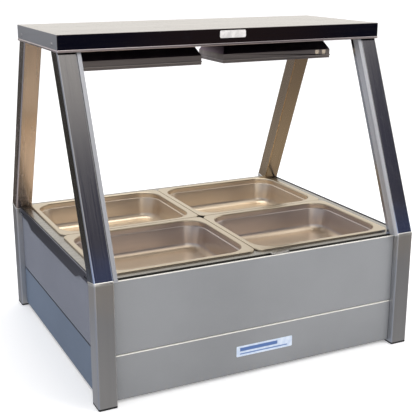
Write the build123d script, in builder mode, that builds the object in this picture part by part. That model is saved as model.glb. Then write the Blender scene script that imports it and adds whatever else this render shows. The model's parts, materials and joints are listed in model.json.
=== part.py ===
"""Countertop steam table: four half-size pans over a heated water tank, under a lamp canopy.

Millimetres. +Z is up from the bench, X runs along the counter, -Y is the customer side.
The origin is on the bench, at the centre of the base.
"""

from build123d import *
import os
from math import atan, cos, radians, sin, tan

os.makedirs("parts", exist_ok=True)

# Pans: half-size gastronorm, long side along X
PAN_LENGTH = 325.0
PAN_WIDTH = 265.0
PAN_DEPTH = 65.0
PAN_SHEET = 0.8
PAN_GAP = 1.5
PAN_RIM = 12.0
PAN_RIM_HEIGHT = 3.6
PAN_RIM_CORNER = 17.0
PAN_RIM_SHEET = 1.0
PAN_STEP = 2.5
PAN_STEP_DEPTH = 13.0
PAN_CORNER = 42.0
PAN_FLOOR_RADIUS = 16.0
PAN_DRAFT = 5.0

# Frame of square tube, with a mitre at the height of the deck
TUBE = 38.0
TUBE_WALL = 1.5
TUBE_CORNER = 3.0
LEG_TO_PANS = 2.75
PANS_UNDER_ARMS = 6.75
FOOT_HEIGHT = 4.0
FOOT_PLUG = 12.0
DECK_TOP = 251.0
HEIGHT = 684.0
SHEET = 1.2

# Wire duct on the inner side of each front arm
DUCT_WIDTH = 17.0
DUCT_DEPTH = 8.0
DUCT_SHEET = 1.0

# Body panels
FRONT_INSET = 15.0
SIDE_INSET = 13.0
PANEL_FOLD = 12.0
PANEL_BOTTOM = 8.2
SEAM_TOP = 101.6
SEAM_GAP = 1.6
PANEL_FIT = 0.3
FRONT_PANEL_DROP = 1.5
GROOVE = 9.5
DECK_SKIRT = 24.0
PANEL_SCREW_ASIDE = 18.0
PANEL_SCREW_IN = 10.0
CUT_DEPTH = 3.6
VENT_LENGTH = 80.0
VENT_WIDTH = 6.0
VENT_PITCH = (110.0, 26.0)
VENT_COUNT = (3, 7)

# Side strips, hooked at both ends
STRIP_GAP = 2.5
STRIP_THICK = 3.0
STRIP_HEIGHT = 30.0
STRIP_END_HEIGHT = 18.0
STRIP_ABOVE_DECK = 1.0
STRIP_END_LENGTH = 70.0
STRIP_TAPER = 30.0
STRIP_SLOT_LENGTH = 34.0
STRIP_SLOT_HEIGHT = 3.0
STRIP_SLOT_IN = 8.0
STRIP_SLOT_DROP = 10.0
STRIP_BOSS_RADIUS = 5.0
STRIP_BOSS_DROP = 12.0
STRIP_SCREW_IN = 12.0
STRIP_SCREW_RISE = 3.8
STRIP_SCREW_HEAD = 3.0
STRIP_HEAD_RISE = 1.4

# Water tank and what heats it
TANK_DEPTH = 115.0
TANK_EDGE = 7.25
TANK_FLANGE = 7.0
TANK_CORNER = 16.0
DIVIDER_THICK = 3.0
DIVIDER_HEIGHT = 20.0
ELEMENT_RADIUS = 4.0
ELEMENT_EDGE = 38.0
ELEMENT_PASSES = 4
ELEMENT_PITCH = 100.0
ELEMENT_BEND = 45.0
CLAMP_WIDTH = 20.0
CLAMP_THICK = 2.0
CLAMP_REACH = 25.0
CLAMP_FOOT = 10.0
INSULATION_THICK = 25.0
INSULATION_REACH = 40.0

# Canopy and lamps
CANOPY_DEPTH = 289.3
CANOPY_FACE = 33.0
CANOPY_LIP = 10.0
ARM_TO_CANOPY = 5.3
CANOPY_SCREW_RISE = 13.0
CANOPY_HEAD_RISE = 1.2
CANOPY_SCREW_LENGTH = 7.0
COVER_HOLE_RADIUS = 8.0
BADGE = (58.0, 15.0, 0.8)
BADGE_X = 4.0
BADGE_CORNER = 3.0
LAMP_SPACING_GAP = 51.0
LAMP_END_GAP = 27.0
LAMP_WIDTH = 120.0
LAMP_DROP = 46.5
LAMP_SKIRT = 19.0
LAMP_SLOPE_INSET = 22.0
LAMP_END_INSET = 14.0
LAMP_SHEET = 1.0
LAMP_BEAD = 1.2
LAMP_BEAD_HEIGHT = 2.0
LAMP_BEAD_RISE = 5.5
WINDOW = 10.0
WINDOW_PITCH = 17.5
WINDOW_END_GAP = 10.0
WINDOW_DROP = 1.2
TERMINAL_THICK = 5.0
TERMINAL_LAP = 1.0
REFLECTOR_SHEET = 0.8
REFLECTOR_RISE = 4.0
REFLECTOR_BREAK = 3.0
REFLECTOR_ASIDE = 16.0
REFLECTOR_SHOULDER = 10.0
REFLECTOR_TOP_HALF = 14.0
REFLECTOR_END_GAP = 7.0
QUARTZ_RADIUS = 5.0
QUARTZ_DROP = 11.0
HOLDER = (14.0, 20.0, 14.0)

# Controls on the operator side
KNOB_X = -190.0
KNOB_Z = 178.0
KNOB_RADIUS = 21.0
KNOB_LENGTH = 13.2
KNOB_SKIRT = 4.0
KNOB_SKIRT_STEP = 3.0
KNOB_TAPER = 6.0
KNOB_CAP = 3.0
KNOB_GAP = 0.3
KNOB_GRIPS = 16
KNOB_GRIP_RADIUS = 2.0
KNOB_GRIP_OUT = 0.4
SHAFT_RADIUS = 3.0
SHAFT_HOLE_GAP = 1.0
DIAL_RADIUS = 33.0
DIAL_THICK = 0.5
THERMOSTAT = (40.0, 26.0, 40.0)
BULB_RADIUS = 3.5
BULB_LENGTH = 80.0
BULB_ASIDE = 40.0
BULB_LAP = 2.0
CAPILLARY_RADIUS = 1.2
CAPILLARY_BEND = 10.0
CAPILLARY_LAP = 1.0
SWITCH_XS = (-60.0, -100.0)
SWITCH_Z = 178.0
ROCKER_RADIUS = 8.0
ROCKER_WIDTH = 20.0
ROCKER_FRONT = 5.4
ROCKER_TILT = 9.0
ROCKER_SINK = 2.5
PIVOT_RADIUS = 1.25
PIVOT_HOLE_RADIUS = 1.3
PIVOT_REACH = 1.0
PIVOT_HOLE_WALL = 0.5
SWITCH_CLEARANCE = 0.4
SWITCH_WALL = 2.0
SWITCH_DEPTH = 18.0
SWITCH_BEZEL = 2.0
BEZEL_LAP = 1.5
BEZEL_CORNER = 1.5
INDICATOR_X = -20.0
INDICATOR_RADIUS = 5.0
INDICATOR_DEPTH = 14.0
INDICATOR_LAP = 1.5
INDICATOR_RISE = 3.0

# Drain
DRAIN_X = 225.0
DRAIN_Y_FROM_TANK = 42.0
DRAIN_Z = 60.0
DRAIN_RADIUS = 10.48
DRAIN_BORE = 8.0
DRAIN_BEND = 20.0
VALVE_RADIUS = 14.0
VALVE_HEX = 16.5
VALVE_HEX_LENGTH = 8.0
VALVE_BODY_LENGTH = 24.0
PIPE_TAIL = 5.0
NOZZLE_SHORT = 0.5
STEM_BOSS_RADIUS = 5.0
STEM_RADIUS = 3.0
STEM_RISE = 7.0
STEM_GAP = 0.1
STEM_NUT = (5.5, 3.0)
LEVER_LENGTH = 55.0
LEVER_WIDTH = 12.0
LEVER_THICK = 3.0
LEVER_HUB_RADIUS = 9.0
SLEEVE_LENGTH = 30.0
SLEEVE_WALL = 1.5
SLEEVE_RISE = 2.0
SLEEVE_IN = 14.0
TAP_WINDOW_LOW = (-22.0, -24.0)
TAP_WINDOW_HIGH = (11.0, 18.0)
TAP_WINDOW_CORNER = 6.0

# Cable entry and the small fasteners
GLAND_X = -250.0
GLAND_Z = 50.0
GLAND_RADIUS = 10.0
GLAND_BORE = 4.5
GLAND_THREAD = 16.0
GLAND_HEX = 14.0
GLAND_NUT = 5.0
GLAND_BODY = 6.0
GLAND_DOME = 7.0
GLAND_DOME_TAPER = 12.0
TERMINAL_BASE = (60.0, 22.0, 14.0)
TERMINAL_POLE = (10.0, 16.0, 6.0)
TERMINAL_POLE_PITCH = 14.0
TERMINAL_POLES = 4
TERMINAL_IN = 40.0
SCREW_RADIUS = 2.0
SCREW_HEAD = 3.8
PANEL_HEAD_RISE = 2.0
PANEL_SCREW_LENGTH = 6.0
SCREW_FIT = 0.05
LABEL = (130.0, 23.0, 0.5)
LABEL_CORNER = 2.0
LABEL_X = 6.0
LABEL_Z = 54.3
CLIP_LENGTH = 40.0
CLIP_EAR = 4.0
CLIP_X = 40.0

# Places that follow from the sizes above
pans_half_x = PAN_LENGTH + PAN_GAP / 2
pans_half_y = PAN_WIDTH + PAN_GAP / 2
rim_top = DECK_TOP + PAN_RIM_HEIGHT
inner_x = pans_half_x - PANS_UNDER_ARMS
outer_x = inner_x + TUBE
inner_y = pans_half_y + LEG_TO_PANS
outer_y = inner_y + TUBE
post_x = inner_x + TUBE / 2
post_y = inner_y + TUBE / 2
canopy_bottom = HEIGHT - CANOPY_FACE
arm_top_y = CANOPY_DEPTH / 2 - SHEET - ARM_TO_CANOPY
lean = atan((outer_y - arm_top_y) / (canopy_bottom - DECK_TOP))
mitre_drop = TUBE * tan(lean / 2)
mitre_z = DECK_TOP - mitre_drop / 2
arm_length = (HEIGHT - DECK_TOP) / cos(lean)
face_x = outer_x - SIDE_INSET
face_y = outer_y - FRONT_INSET
deck_y = face_y - GROOVE
deck_under = DECK_TOP - SHEET
opening_x = pans_half_x - TANK_EDGE
opening_y = pans_half_y - TANK_EDGE
tank_under = deck_under - TANK_DEPTH - SHEET
element_z = tank_under - ELEMENT_RADIUS
clamp_under = element_z - ELEMENT_RADIUS - CLAMP_THICK
seam_bottom = SEAM_TOP - SEAM_GAP
lamp_length = inner_x - LAMP_END_GAP - LAMP_SPACING_GAP / 2
lamp_x = LAMP_SPACING_GAP / 2 + lamp_length / 2
lamp_bottom = canopy_bottom - LAMP_DROP
skirt_top = lamp_bottom + LAMP_SKIRT
panel_back = face_y - SHEET


def save(piece, name):
    """Label a finished piece and write its STEP file."""
    piece.part.label = name
    export_step(piece.part, f"parts/{name}.step")


def arm_inner_y(z):
    """Distance from the middle plane to an arm's inner face at height z."""
    return inner_y - (z - (DECK_TOP - mitre_drop)) * tan(lean)


def mitre_plane(side, end):
    """The plane between a leg and its arm; its normal points up into the arm."""
    return Plane(
        origin=(side * post_x, end * post_y, mitre_z),
        x_dir=(1, 0, 0),
        z_dir=(0, -end * sin(lean / 2), cos(lean / 2)),
    )


def arm_plane(side, end):
    """The plane across an arm at its mitre; its normal runs up the arm."""
    return Plane(
        origin=(side * post_x, end * post_y, mitre_z),
        x_dir=(1, 0, 0),
        z_dir=(0, -end * sin(lean), cos(lean)),
    )


def rear_plane(x, y, z):
    """A plane facing the operator: its normal is +Y and its local Y is up."""
    return Plane(origin=(x, y, z), x_dir=(-1, 0, 0), z_dir=(0, 1, 0))


def face_plane(direction):
    """The outer face of one body panel: local X along the panel, local Y up."""
    if direction == "front":
        return Plane(origin=(0, -face_y, 0), x_dir=(1, 0, 0), z_dir=(0, -1, 0))
    if direction == "rear":
        return rear_plane(0, face_y, 0)
    if direction == "left":
        return Plane(origin=(-face_x, 0, 0), x_dir=(0, -1, 0), z_dir=(-1, 0, 0))
    return Plane(origin=(face_x, 0, 0), x_dir=(0, 1, 0), z_dir=(1, 0, 0))


def tube_section():
    """Hollow square section with rounded corners."""
    RectangleRounded(TUBE, TUBE, TUBE_CORNER)
    bore = TUBE - 2 * TUBE_WALL
    RectangleRounded(bore, bore, TUBE_CORNER - TUBE_WALL, mode=Mode.SUBTRACT)


# Legs, arms and foot caps
CORNERS = {
    "front_left": (-1, -1),
    "front_right": (1, -1),
    "rear_left": (-1, 1),
    "rear_right": (1, 1),
}
canopy_screw_z = canopy_bottom + CANOPY_SCREW_RISE
canopy_screw_y = outer_y - (canopy_screw_z - DECK_TOP) * tan(lean) - TUBE / 2 / cos(lean)


def make_leg(side, end):
    """Upright tube, cut at its top by the mitre."""
    with BuildPart() as leg:
        with BuildSketch(Plane.XY.offset(FOOT_HEIGHT)):
            with Locations((side * post_x, end * post_y)):
                tube_section()
        extrude(amount=DECK_TOP + TUBE - FOOT_HEIGHT)
        split(bisect_by=mitre_plane(side, end), keep=Keep.BOTTOM)
    return leg


def make_arm(side, end):
    """Leaning tube from the mitre up to the canopy's top sheet, tapped for the canopy screw."""
    with BuildPart() as arm:
        with BuildSketch(arm_plane(side, end).offset(-TUBE)):
            tube_section()
        extrude(amount=arm_length + 2 * TUBE)
        split(bisect_by=mitre_plane(side, end), keep=Keep.TOP)
        split(bisect_by=Plane.XY.offset(HEIGHT - SHEET), keep=Keep.BOTTOM)
        with BuildSketch(Plane.YZ.offset(side * outer_x)):
            with Locations((end * canopy_screw_y, canopy_screw_z)):
                Circle(SCREW_RADIUS + SCREW_FIT)
        extrude(amount=-side * 2 * TUBE_WALL, mode=Mode.SUBTRACT)
    return arm


for corner, (side, end) in CORNERS.items():
    save(make_leg(side, end), f"leg_{corner}")
    save(make_arm(side, end), f"arm_{corner}")

with BuildPart() as foot_caps:
    for side, end in CORNERS.values():
        with BuildSketch():
            with Locations((side * post_x, end * post_y)):
                RectangleRounded(TUBE, TUBE, TUBE_CORNER)
        extrude(amount=FOOT_HEIGHT)
        plug = TUBE - 2 * TUBE_WALL - 2 * PANEL_FIT
        with BuildSketch(Plane.XY.offset(FOOT_HEIGHT)):
            with Locations((side * post_x, end * post_y)):
                RectangleRounded(plug, plug, TUBE_CORNER - TUBE_WALL)
        extrude(amount=FOOT_PLUG)
save(foot_caps, "foot_caps")


def make_duct(side):
    """Channel on a front arm's inner side, closed by the arm, from the deck to the canopy."""
    centre = (-side * (TUBE + DUCT_DEPTH) / 2, (DUCT_WIDTH - TUBE) / 2)
    hollow = (centre[0] + side * DUCT_SHEET / 2, centre[1])
    with BuildPart() as duct:
        with BuildSketch(arm_plane(side, -1).offset(-TUBE)):
            with Locations(centre):
                Rectangle(DUCT_DEPTH, DUCT_WIDTH)
            with Locations(hollow):
                Rectangle(DUCT_DEPTH - DUCT_SHEET, DUCT_WIDTH - 2 * DUCT_SHEET, mode=Mode.SUBTRACT)
        extrude(amount=arm_length + 2 * TUBE)
        split(bisect_by=Plane.XY.offset(DECK_TOP + STRIP_ABOVE_DECK), keep=Keep.TOP)
        split(bisect_by=Plane.XY.offset(canopy_bottom), keep=Keep.BOTTOM)
    return duct


save(make_duct(-1), "duct_left")
save(make_duct(1), "duct_right")


# Body panels, each a shallow folded tray
def make_panel(plane, width, low, high, open_top=False):
    """Folded sheet panel with its outer face on the plane, from height low to height high."""
    middle = (low + high) / 2
    pocket_top = high + SHEET if open_top else high - SHEET
    pocket_low = low + SHEET
    with BuildPart() as panel:
        with BuildSketch(plane):
            with Locations((0, middle)):
                Rectangle(width, high - low)
        extrude(amount=-PANEL_FOLD)
        with BuildSketch(plane.offset(-SHEET)):
            with Locations((0, (pocket_low + pocket_top) / 2)):
                Rectangle(width - 2 * SHEET, pocket_top - pocket_low)
        extrude(amount=-PANEL_FOLD, mode=Mode.SUBTRACT)
    return panel.part


front_width = 2 * (inner_x - PANEL_FIT)
side_width = 2 * (inner_y - PANEL_FIT)
front_top = DECK_TOP - FRONT_PANEL_DROP
side_top = DECK_TOP - mitre_drop
screw_x = inner_x - PANEL_SCREW_ASIDE
screw_heights = {
    "upper": (SEAM_TOP + PANEL_SCREW_IN, front_top - PANEL_SCREW_IN),
    "lower": (PANEL_BOTTOM + PANEL_SCREW_IN, seam_bottom - PANEL_SCREW_IN),
}

with BuildPart() as front_panel_upper:
    add(make_panel(face_plane("front"), front_width, SEAM_TOP, front_top, open_top=True))
save(front_panel_upper, "front_panel_upper")

with BuildPart() as front_panel_lower:
    add(make_panel(face_plane("front"), front_width, PANEL_BOTTOM, seam_bottom))
save(front_panel_lower, "front_panel_lower")

for direction in ("left", "right"):
    with BuildPart() as side_panel_upper:
        add(make_panel(face_plane(direction), side_width, SEAM_TOP, side_top))
    save(side_panel_upper, f"side_panel_upper_{direction}")
    with BuildPart() as side_panel_lower:
        add(make_panel(face_plane(direction), side_width, PANEL_BOTTOM, seam_bottom))
    save(side_panel_lower, f"side_panel_lower_{direction}")

switch_height = 2 * (ROCKER_RADIUS + SWITCH_CLEARANCE + SWITCH_WALL)
switch_width = ROCKER_WIDTH + 2 * (SWITCH_CLEARANCE + SWITCH_WALL)

with BuildPart() as rear_panel_upper:
    add(make_panel(face_plane("rear"), front_width, SEAM_TOP, front_top, open_top=True))
    with BuildSketch(face_plane("rear")):
        with Locations((-KNOB_X, KNOB_Z)):
            Circle(SHAFT_RADIUS + SHAFT_HOLE_GAP)
        with Locations(*[(-x, SWITCH_Z) for x in SWITCH_XS]):
            Rectangle(switch_width, switch_height)
        with Locations((-INDICATOR_X, SWITCH_Z)):
            Circle(INDICATOR_RADIUS + SCREW_FIT)
        for height in screw_heights["upper"]:
            with Locations((-screw_x, height), (screw_x, height)):
                Circle(SCREW_RADIUS + SCREW_FIT)
    extrude(amount=-CUT_DEPTH, mode=Mode.SUBTRACT)
save(rear_panel_upper, "rear_panel_upper")

window_low_x = DRAIN_X + TAP_WINDOW_LOW[0]
window_high_x = DRAIN_X + LEVER_LENGTH + TAP_WINDOW_HIGH[0]
window_low_z = DRAIN_Z + TAP_WINDOW_LOW[1]
window_high_z = DRAIN_Z + VALVE_RADIUS + TAP_WINDOW_HIGH[1]

with BuildPart() as rear_panel_lower:
    add(make_panel(face_plane("rear"), front_width, PANEL_BOTTOM, seam_bottom))
    with BuildSketch(face_plane("rear")):
        with Locations((-(window_low_x + window_high_x) / 2, (window_low_z + window_high_z) / 2)):
            RectangleRounded(window_high_x - window_low_x, window_high_z - window_low_z, TAP_WINDOW_CORNER)
        with Locations((-GLAND_X, GLAND_Z)):
            Circle(GLAND_RADIUS + SCREW_FIT)
        for height in screw_heights["lower"]:
            with Locations((-screw_x, height), (screw_x, height)):
                Circle(SCREW_RADIUS + SCREW_FIT)
    extrude(amount=-CUT_DEPTH, mode=Mode.SUBTRACT)
save(rear_panel_lower, "rear_panel_lower")

with BuildPart() as rear_panel_screws:
    for height in screw_heights["upper"] + screw_heights["lower"]:
        with BuildSketch(face_plane("rear")):
            with Locations((-screw_x, height), (screw_x, height)):
                Circle(SCREW_HEAD)
        extrude(amount=PANEL_HEAD_RISE)
        with BuildSketch(face_plane("rear")):
            with Locations((-screw_x, height), (screw_x, height)):
                Circle(SCREW_RADIUS)
        extrude(amount=-PANEL_SCREW_LENGTH)
save(rear_panel_screws, "rear_panel_screws")

# Base plate with vent slots, notched around the legs
with BuildPart() as base_plate:
    with BuildSketch(Plane.XY.offset(PANEL_BOTTOM - SHEET)):
        Rectangle(2 * face_x, 2 * face_y)
        notch_x = face_x - inner_x + PANEL_FIT
        notch_y = face_y - inner_y + PANEL_FIT
        for side, end in CORNERS.values():
            with Locations((side * (face_x - notch_x / 2), end * (face_y - notch_y / 2))):
                Rectangle(notch_x, notch_y, mode=Mode.SUBTRACT)
        with GridLocations(*VENT_PITCH, *VENT_COUNT):
            SlotOverall(VENT_LENGTH, VENT_WIDTH, mode=Mode.SUBTRACT)
    extrude(amount=SHEET)
save(base_plate, "base_plate")

# Deck: a ledge around the tank's mouth, with skirts down to the side panels and into the grooves
deck_notch_y = arm_inner_y(DECK_TOP) - PANEL_FIT
with BuildPart() as deck:
    with BuildSketch(Plane.XY.offset(deck_under)):
        Rectangle(2 * face_x, 2 * deck_y)
        notch_x = face_x - inner_x + PANEL_FIT
        notch_y = deck_y - deck_notch_y
        for side, end in CORNERS.values():
            with Locations((side * (face_x - notch_x / 2), end * (deck_y - notch_y / 2))):
                Rectangle(notch_x, notch_y, mode=Mode.SUBTRACT)
        RectangleRounded(2 * opening_x, 2 * opening_y, TANK_CORNER, mode=Mode.SUBTRACT)
    extrude(amount=SHEET)
    with BuildSketch(Plane.XY.offset(deck_under)):
        with Locations((0, deck_y - SHEET / 2), (0, -deck_y + SHEET / 2)):
            Rectangle(2 * (inner_x - 2 * SHEET), SHEET)
    extrude(amount=-DECK_SKIRT)
    with BuildSketch(Plane.XY.offset(deck_under)):
        with Locations((face_x - SHEET / 2, 0), (-face_x + SHEET / 2, 0)):
            Rectangle(SHEET, 2 * deck_notch_y)
    extrude(amount=side_top - deck_under)
save(deck, "deck")

# Side strips, proud of the side panels, with a slotted and hooked end at each leg
strip_top = DECK_TOP + STRIP_ABOVE_DECK
strip_half = arm_inner_y(strip_top) - PANEL_FIT
strip_inner_x = face_x + STRIP_GAP
slot_y = strip_half - STRIP_SLOT_LENGTH / 2 - STRIP_SLOT_IN
slot_z = strip_top - STRIP_SLOT_DROP
boss_z = strip_top - STRIP_BOSS_DROP
strip_screw_y = strip_half - STRIP_SCREW_IN
strip_screw_z = strip_top - STRIP_END_HEIGHT + STRIP_SCREW_RISE


def make_strip(side):
    """Flat bar with tapered ends, standing off the side panel on two bosses."""
    low = strip_top - STRIP_HEIGHT
    end_low = strip_top - STRIP_END_HEIGHT
    taper_start = strip_half - STRIP_END_LENGTH - STRIP_TAPER
    taper_end = strip_half - STRIP_END_LENGTH
    with BuildPart() as strip:
        with BuildSketch(Plane.YZ.offset(side * strip_inner_x)):
            with BuildLine():
                Polyline(
                    (-strip_half, strip_top),
                    (strip_half, strip_top),
                    (strip_half, end_low),
                    (taper_end, end_low),
                    (taper_start, low),
                    (-taper_start, low),
                    (-taper_end, end_low),
                    (-strip_half, end_low),
                    close=True,
                )
            make_face()
            with Locations((slot_y, slot_z), (-slot_y, slot_z)):
                SlotOverall(STRIP_SLOT_LENGTH, STRIP_SLOT_HEIGHT, mode=Mode.SUBTRACT)
            with Locations((strip_screw_y, strip_screw_z), (-strip_screw_y, strip_screw_z)):
                Circle(SCREW_RADIUS + SCREW_FIT, mode=Mode.SUBTRACT)
        extrude(amount=side * STRIP_THICK)
        with BuildSketch(Plane.YZ.offset(side * face_x)):
            with Locations((taper_start, boss_z), (-taper_start, boss_z)):
                Circle(STRIP_BOSS_RADIUS)
        extrude(amount=side * STRIP_GAP)
    return strip


save(make_strip(-1), "side_strip_left")
save(make_strip(1), "side_strip_right")

with BuildPart() as side_strip_screws:
    for side in (-1, 1):
        with BuildSketch(Plane.YZ.offset(side * (strip_inner_x + STRIP_THICK))):
            with Locations((strip_screw_y, strip_screw_z), (-strip_screw_y, strip_screw_z)):
                Circle(STRIP_SCREW_HEAD)
        extrude(amount=side * STRIP_HEAD_RISE)
        with BuildSketch(Plane.YZ.offset(side * (strip_inner_x + STRIP_THICK))):
            with Locations((strip_screw_y, strip_screw_z), (-strip_screw_y, strip_screw_z)):
                Circle(SCREW_RADIUS)
        extrude(amount=-side * (STRIP_THICK + STRIP_GAP))
save(side_strip_screws, "side_strip_screws")

# Clip in the groove between the front panel and the deck
with BuildPart() as front_clip:
    with BuildSketch(Plane.XY.offset(front_top)):
        with Locations((CLIP_X, -(face_y + deck_y) / 2)):
            Rectangle(CLIP_LENGTH, GROOVE)
    extrude(amount=SHEET)
    with BuildSketch(Plane.XY.offset(front_top + SHEET)):
        with Locations((CLIP_X, -(face_y + deck_y) / 2)):
            with GridLocations(CLIP_LENGTH - CLIP_EAR, 1, 2, 1):
                Rectangle(CLIP_EAR, GROOVE)
    extrude(amount=SHEET)
save(front_clip, "front_clip")

with BuildPart() as label_plate:
    with BuildSketch(face_plane("front")):
        with Locations((LABEL_X, LABEL_Z)):
            RectangleRounded(LABEL[0], LABEL[1], LABEL_CORNER)
    extrude(amount=LABEL[2])
save(label_plate, "label_plate")

# Water tank, hung under the deck, and the bar between the left and right pans
drain_y = opening_y - DRAIN_Y_FROM_TANK
with BuildPart() as water_tank:
    with BuildSketch(Plane.XY.offset(deck_under)):
        flange_x = 2 * (opening_x + TANK_FLANGE)
        flange_y = 2 * (opening_y + TANK_FLANGE)
        RectangleRounded(flange_x, flange_y, TANK_CORNER + TANK_FLANGE)
    extrude(amount=-SHEET)
    with BuildSketch(Plane.XY.offset(tank_under)):
        RectangleRounded(2 * (opening_x + SHEET), 2 * (opening_y + SHEET), TANK_CORNER + SHEET)
    extrude(amount=deck_under - tank_under)
    with BuildSketch(Plane.XY.offset(tank_under + SHEET)):
        RectangleRounded(2 * opening_x, 2 * opening_y, TANK_CORNER)
    extrude(amount=TANK_DEPTH + SHEET, mode=Mode.SUBTRACT)
    with BuildSketch(Plane.XY.offset(tank_under)):
        with Locations((DRAIN_X, drain_y)):
            Circle(DRAIN_BORE)
    extrude(amount=2 * SHEET, mode=Mode.SUBTRACT)
save(water_tank, "water_tank")

with BuildPart() as pan_divider:
    with BuildSketch(Plane.XY.offset(DECK_TOP)):
        Rectangle(DIVIDER_THICK, 2 * opening_y)
    extrude(amount=-DIVIDER_HEIGHT)
save(pan_divider, "pan_divider")


# Pans
def pan_form(grow, depth):
    """The drawn shape of a pan below its rim, grown sideways by the sheet for the outside."""
    upper_length = PAN_LENGTH - 2 * PAN_RIM
    upper_width = PAN_WIDTH - 2 * PAN_RIM
    with BuildPart() as form:
        with BuildSketch():
            RectangleRounded(upper_length + 2 * grow, upper_width + 2 * grow, PAN_CORNER + PAN_STEP + grow)
        extrude(amount=-PAN_STEP_DEPTH - grow)
        with BuildSketch(Plane.XY.offset(-PAN_STEP_DEPTH)):
            lower_length = upper_length - 2 * PAN_STEP + 2 * grow
            lower_width = upper_width - 2 * PAN_STEP + 2 * grow
            RectangleRounded(lower_length, lower_width, PAN_CORNER + grow)
        extrude(amount=-(depth - PAN_STEP_DEPTH), taper=PAN_DRAFT)
        floor_edges = form.faces().sort_by(Axis.Z)[0].edges()
        fillet(floor_edges, PAN_FLOOR_RADIUS + grow)
    return form.part


pan_outside = pan_form(PAN_SHEET, PAN_DEPTH)
pan_inside = pan_form(0, PAN_DEPTH - PAN_SHEET)

with BuildPart() as pan_shell:
    with BuildSketch():
        RectangleRounded(PAN_LENGTH, PAN_WIDTH, PAN_RIM_CORNER)
    extrude(amount=-PAN_RIM_HEIGHT)
    with BuildSketch(Plane.XY.offset(-PAN_RIM_SHEET)):
        lip_length = PAN_LENGTH - 2 * PAN_RIM_SHEET
        lip_width = PAN_WIDTH - 2 * PAN_RIM_SHEET
        RectangleRounded(lip_length, lip_width, PAN_RIM_CORNER - PAN_RIM_SHEET)
    extrude(amount=-PAN_RIM_HEIGHT, mode=Mode.SUBTRACT)
    add(pan_outside)
    add(pan_inside, mode=Mode.SUBTRACT)

for corner, (side, end) in CORNERS.items():
    with BuildPart() as pan:
        with Locations((side * (PAN_LENGTH + PAN_GAP) / 2, end * (PAN_WIDTH + PAN_GAP) / 2, rim_top)):
            add(pan_shell.part)
    save(pan, f"pan_{corner}")

# Heating element under the tank: parallel passes joined by half turns
element_half = opening_x - ELEMENT_EDGE
element_points = []
for index in range(ELEMENT_PASSES):
    y = (index - (ELEMENT_PASSES - 1) / 2) * ELEMENT_PITCH
    start = -element_half if index % 2 == 0 else element_half
    element_points += [(start, y, element_z), (-start, y, element_z)]
element_reach = (ELEMENT_PASSES - 1) / 2 * ELEMENT_PITCH

with BuildPart() as heating_element:
    with BuildLine():
        FilletPolyline(*element_points, radius=ELEMENT_BEND)
    with BuildSketch(Plane(origin=element_points[0], z_dir=(1, 0, 0))):
        Circle(ELEMENT_RADIUS)
    sweep()
save(heating_element, "heating_element")

with BuildPart() as element_clamps:
    with BuildSketch(Plane.XY.offset(clamp_under)):
        with GridLocations(element_half / 2, 1, 3, 1):
            Rectangle(CLAMP_WIDTH, 2 * (element_reach + CLAMP_REACH))
    extrude(amount=CLAMP_THICK)
    with BuildSketch(Plane.XY.offset(clamp_under + CLAMP_THICK)):
        with GridLocations(element_half / 2, 2 * (element_reach + CLAMP_REACH) - CLAMP_FOOT, 3, 2):
            Rectangle(CLAMP_WIDTH, CLAMP_FOOT)
    extrude(amount=2 * ELEMENT_RADIUS)
save(element_clamps, "element_clamps")

with BuildPart() as insulation_slab:
    with BuildSketch(Plane.XY.offset(clamp_under)):
        Rectangle(2 * element_half, 2 * (element_reach + INSULATION_REACH))
    extrude(amount=-INSULATION_THICK)
save(insulation_slab, "insulation_slab")

# Thermostat: body behind the rear panel, capillary, and a bulb against the tank's underside
bulb_y = element_reach + INSULATION_REACH + 2 * BULB_RADIUS
bulb_z = tank_under - BULB_RADIUS
bulb_x = KNOB_X + BULB_ASIDE
body_y = panel_back - THERMOSTAT[1] / 2
capillary_top = KNOB_Z - THERMOSTAT[2] / 2 + CAPILLARY_LAP
capillary_bend = min(CAPILLARY_BEND, 0.45 * abs(capillary_top - bulb_z))
with BuildPart() as thermostat:
    with Locations((KNOB_X, body_y, KNOB_Z)):
        Box(THERMOSTAT[0], THERMOSTAT[1], THERMOSTAT[2])
    with BuildSketch(rear_plane(KNOB_X, panel_back, KNOB_Z)):
        Circle(SHAFT_RADIUS)
    extrude(amount=SHEET + KNOB_LENGTH - KNOB_CAP)
    with BuildLine():
        FilletPolyline(
            (KNOB_X, body_y, capillary_top),
            (KNOB_X, body_y, bulb_z),
            (KNOB_X, bulb_y, bulb_z),
            (bulb_x, bulb_y, bulb_z),
            radius=capillary_bend,
        )
    with BuildSketch(Plane(origin=(KNOB_X, body_y, capillary_top), z_dir=(0, 0, -1))):
        Circle(CAPILLARY_RADIUS)
    sweep()
    with BuildSketch(Plane(origin=(bulb_x - BULB_LAP, bulb_y, bulb_z), z_dir=(1, 0, 0))):
        Circle(BULB_RADIUS)
    extrude(amount=BULB_LENGTH)
save(thermostat, "thermostat")

# Dial plate and knob; the knob turns on the thermostat's shaft
knob_base = face_y + DIAL_THICK + KNOB_GAP
with BuildPart() as dial_plate:
    with BuildSketch(rear_plane(KNOB_X, face_y, KNOB_Z)):
        Circle(DIAL_RADIUS)
        Circle(SHAFT_RADIUS + SHAFT_HOLE_GAP, mode=Mode.SUBTRACT)
    extrude(amount=DIAL_THICK)
save(dial_plate, "dial_plate")

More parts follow.
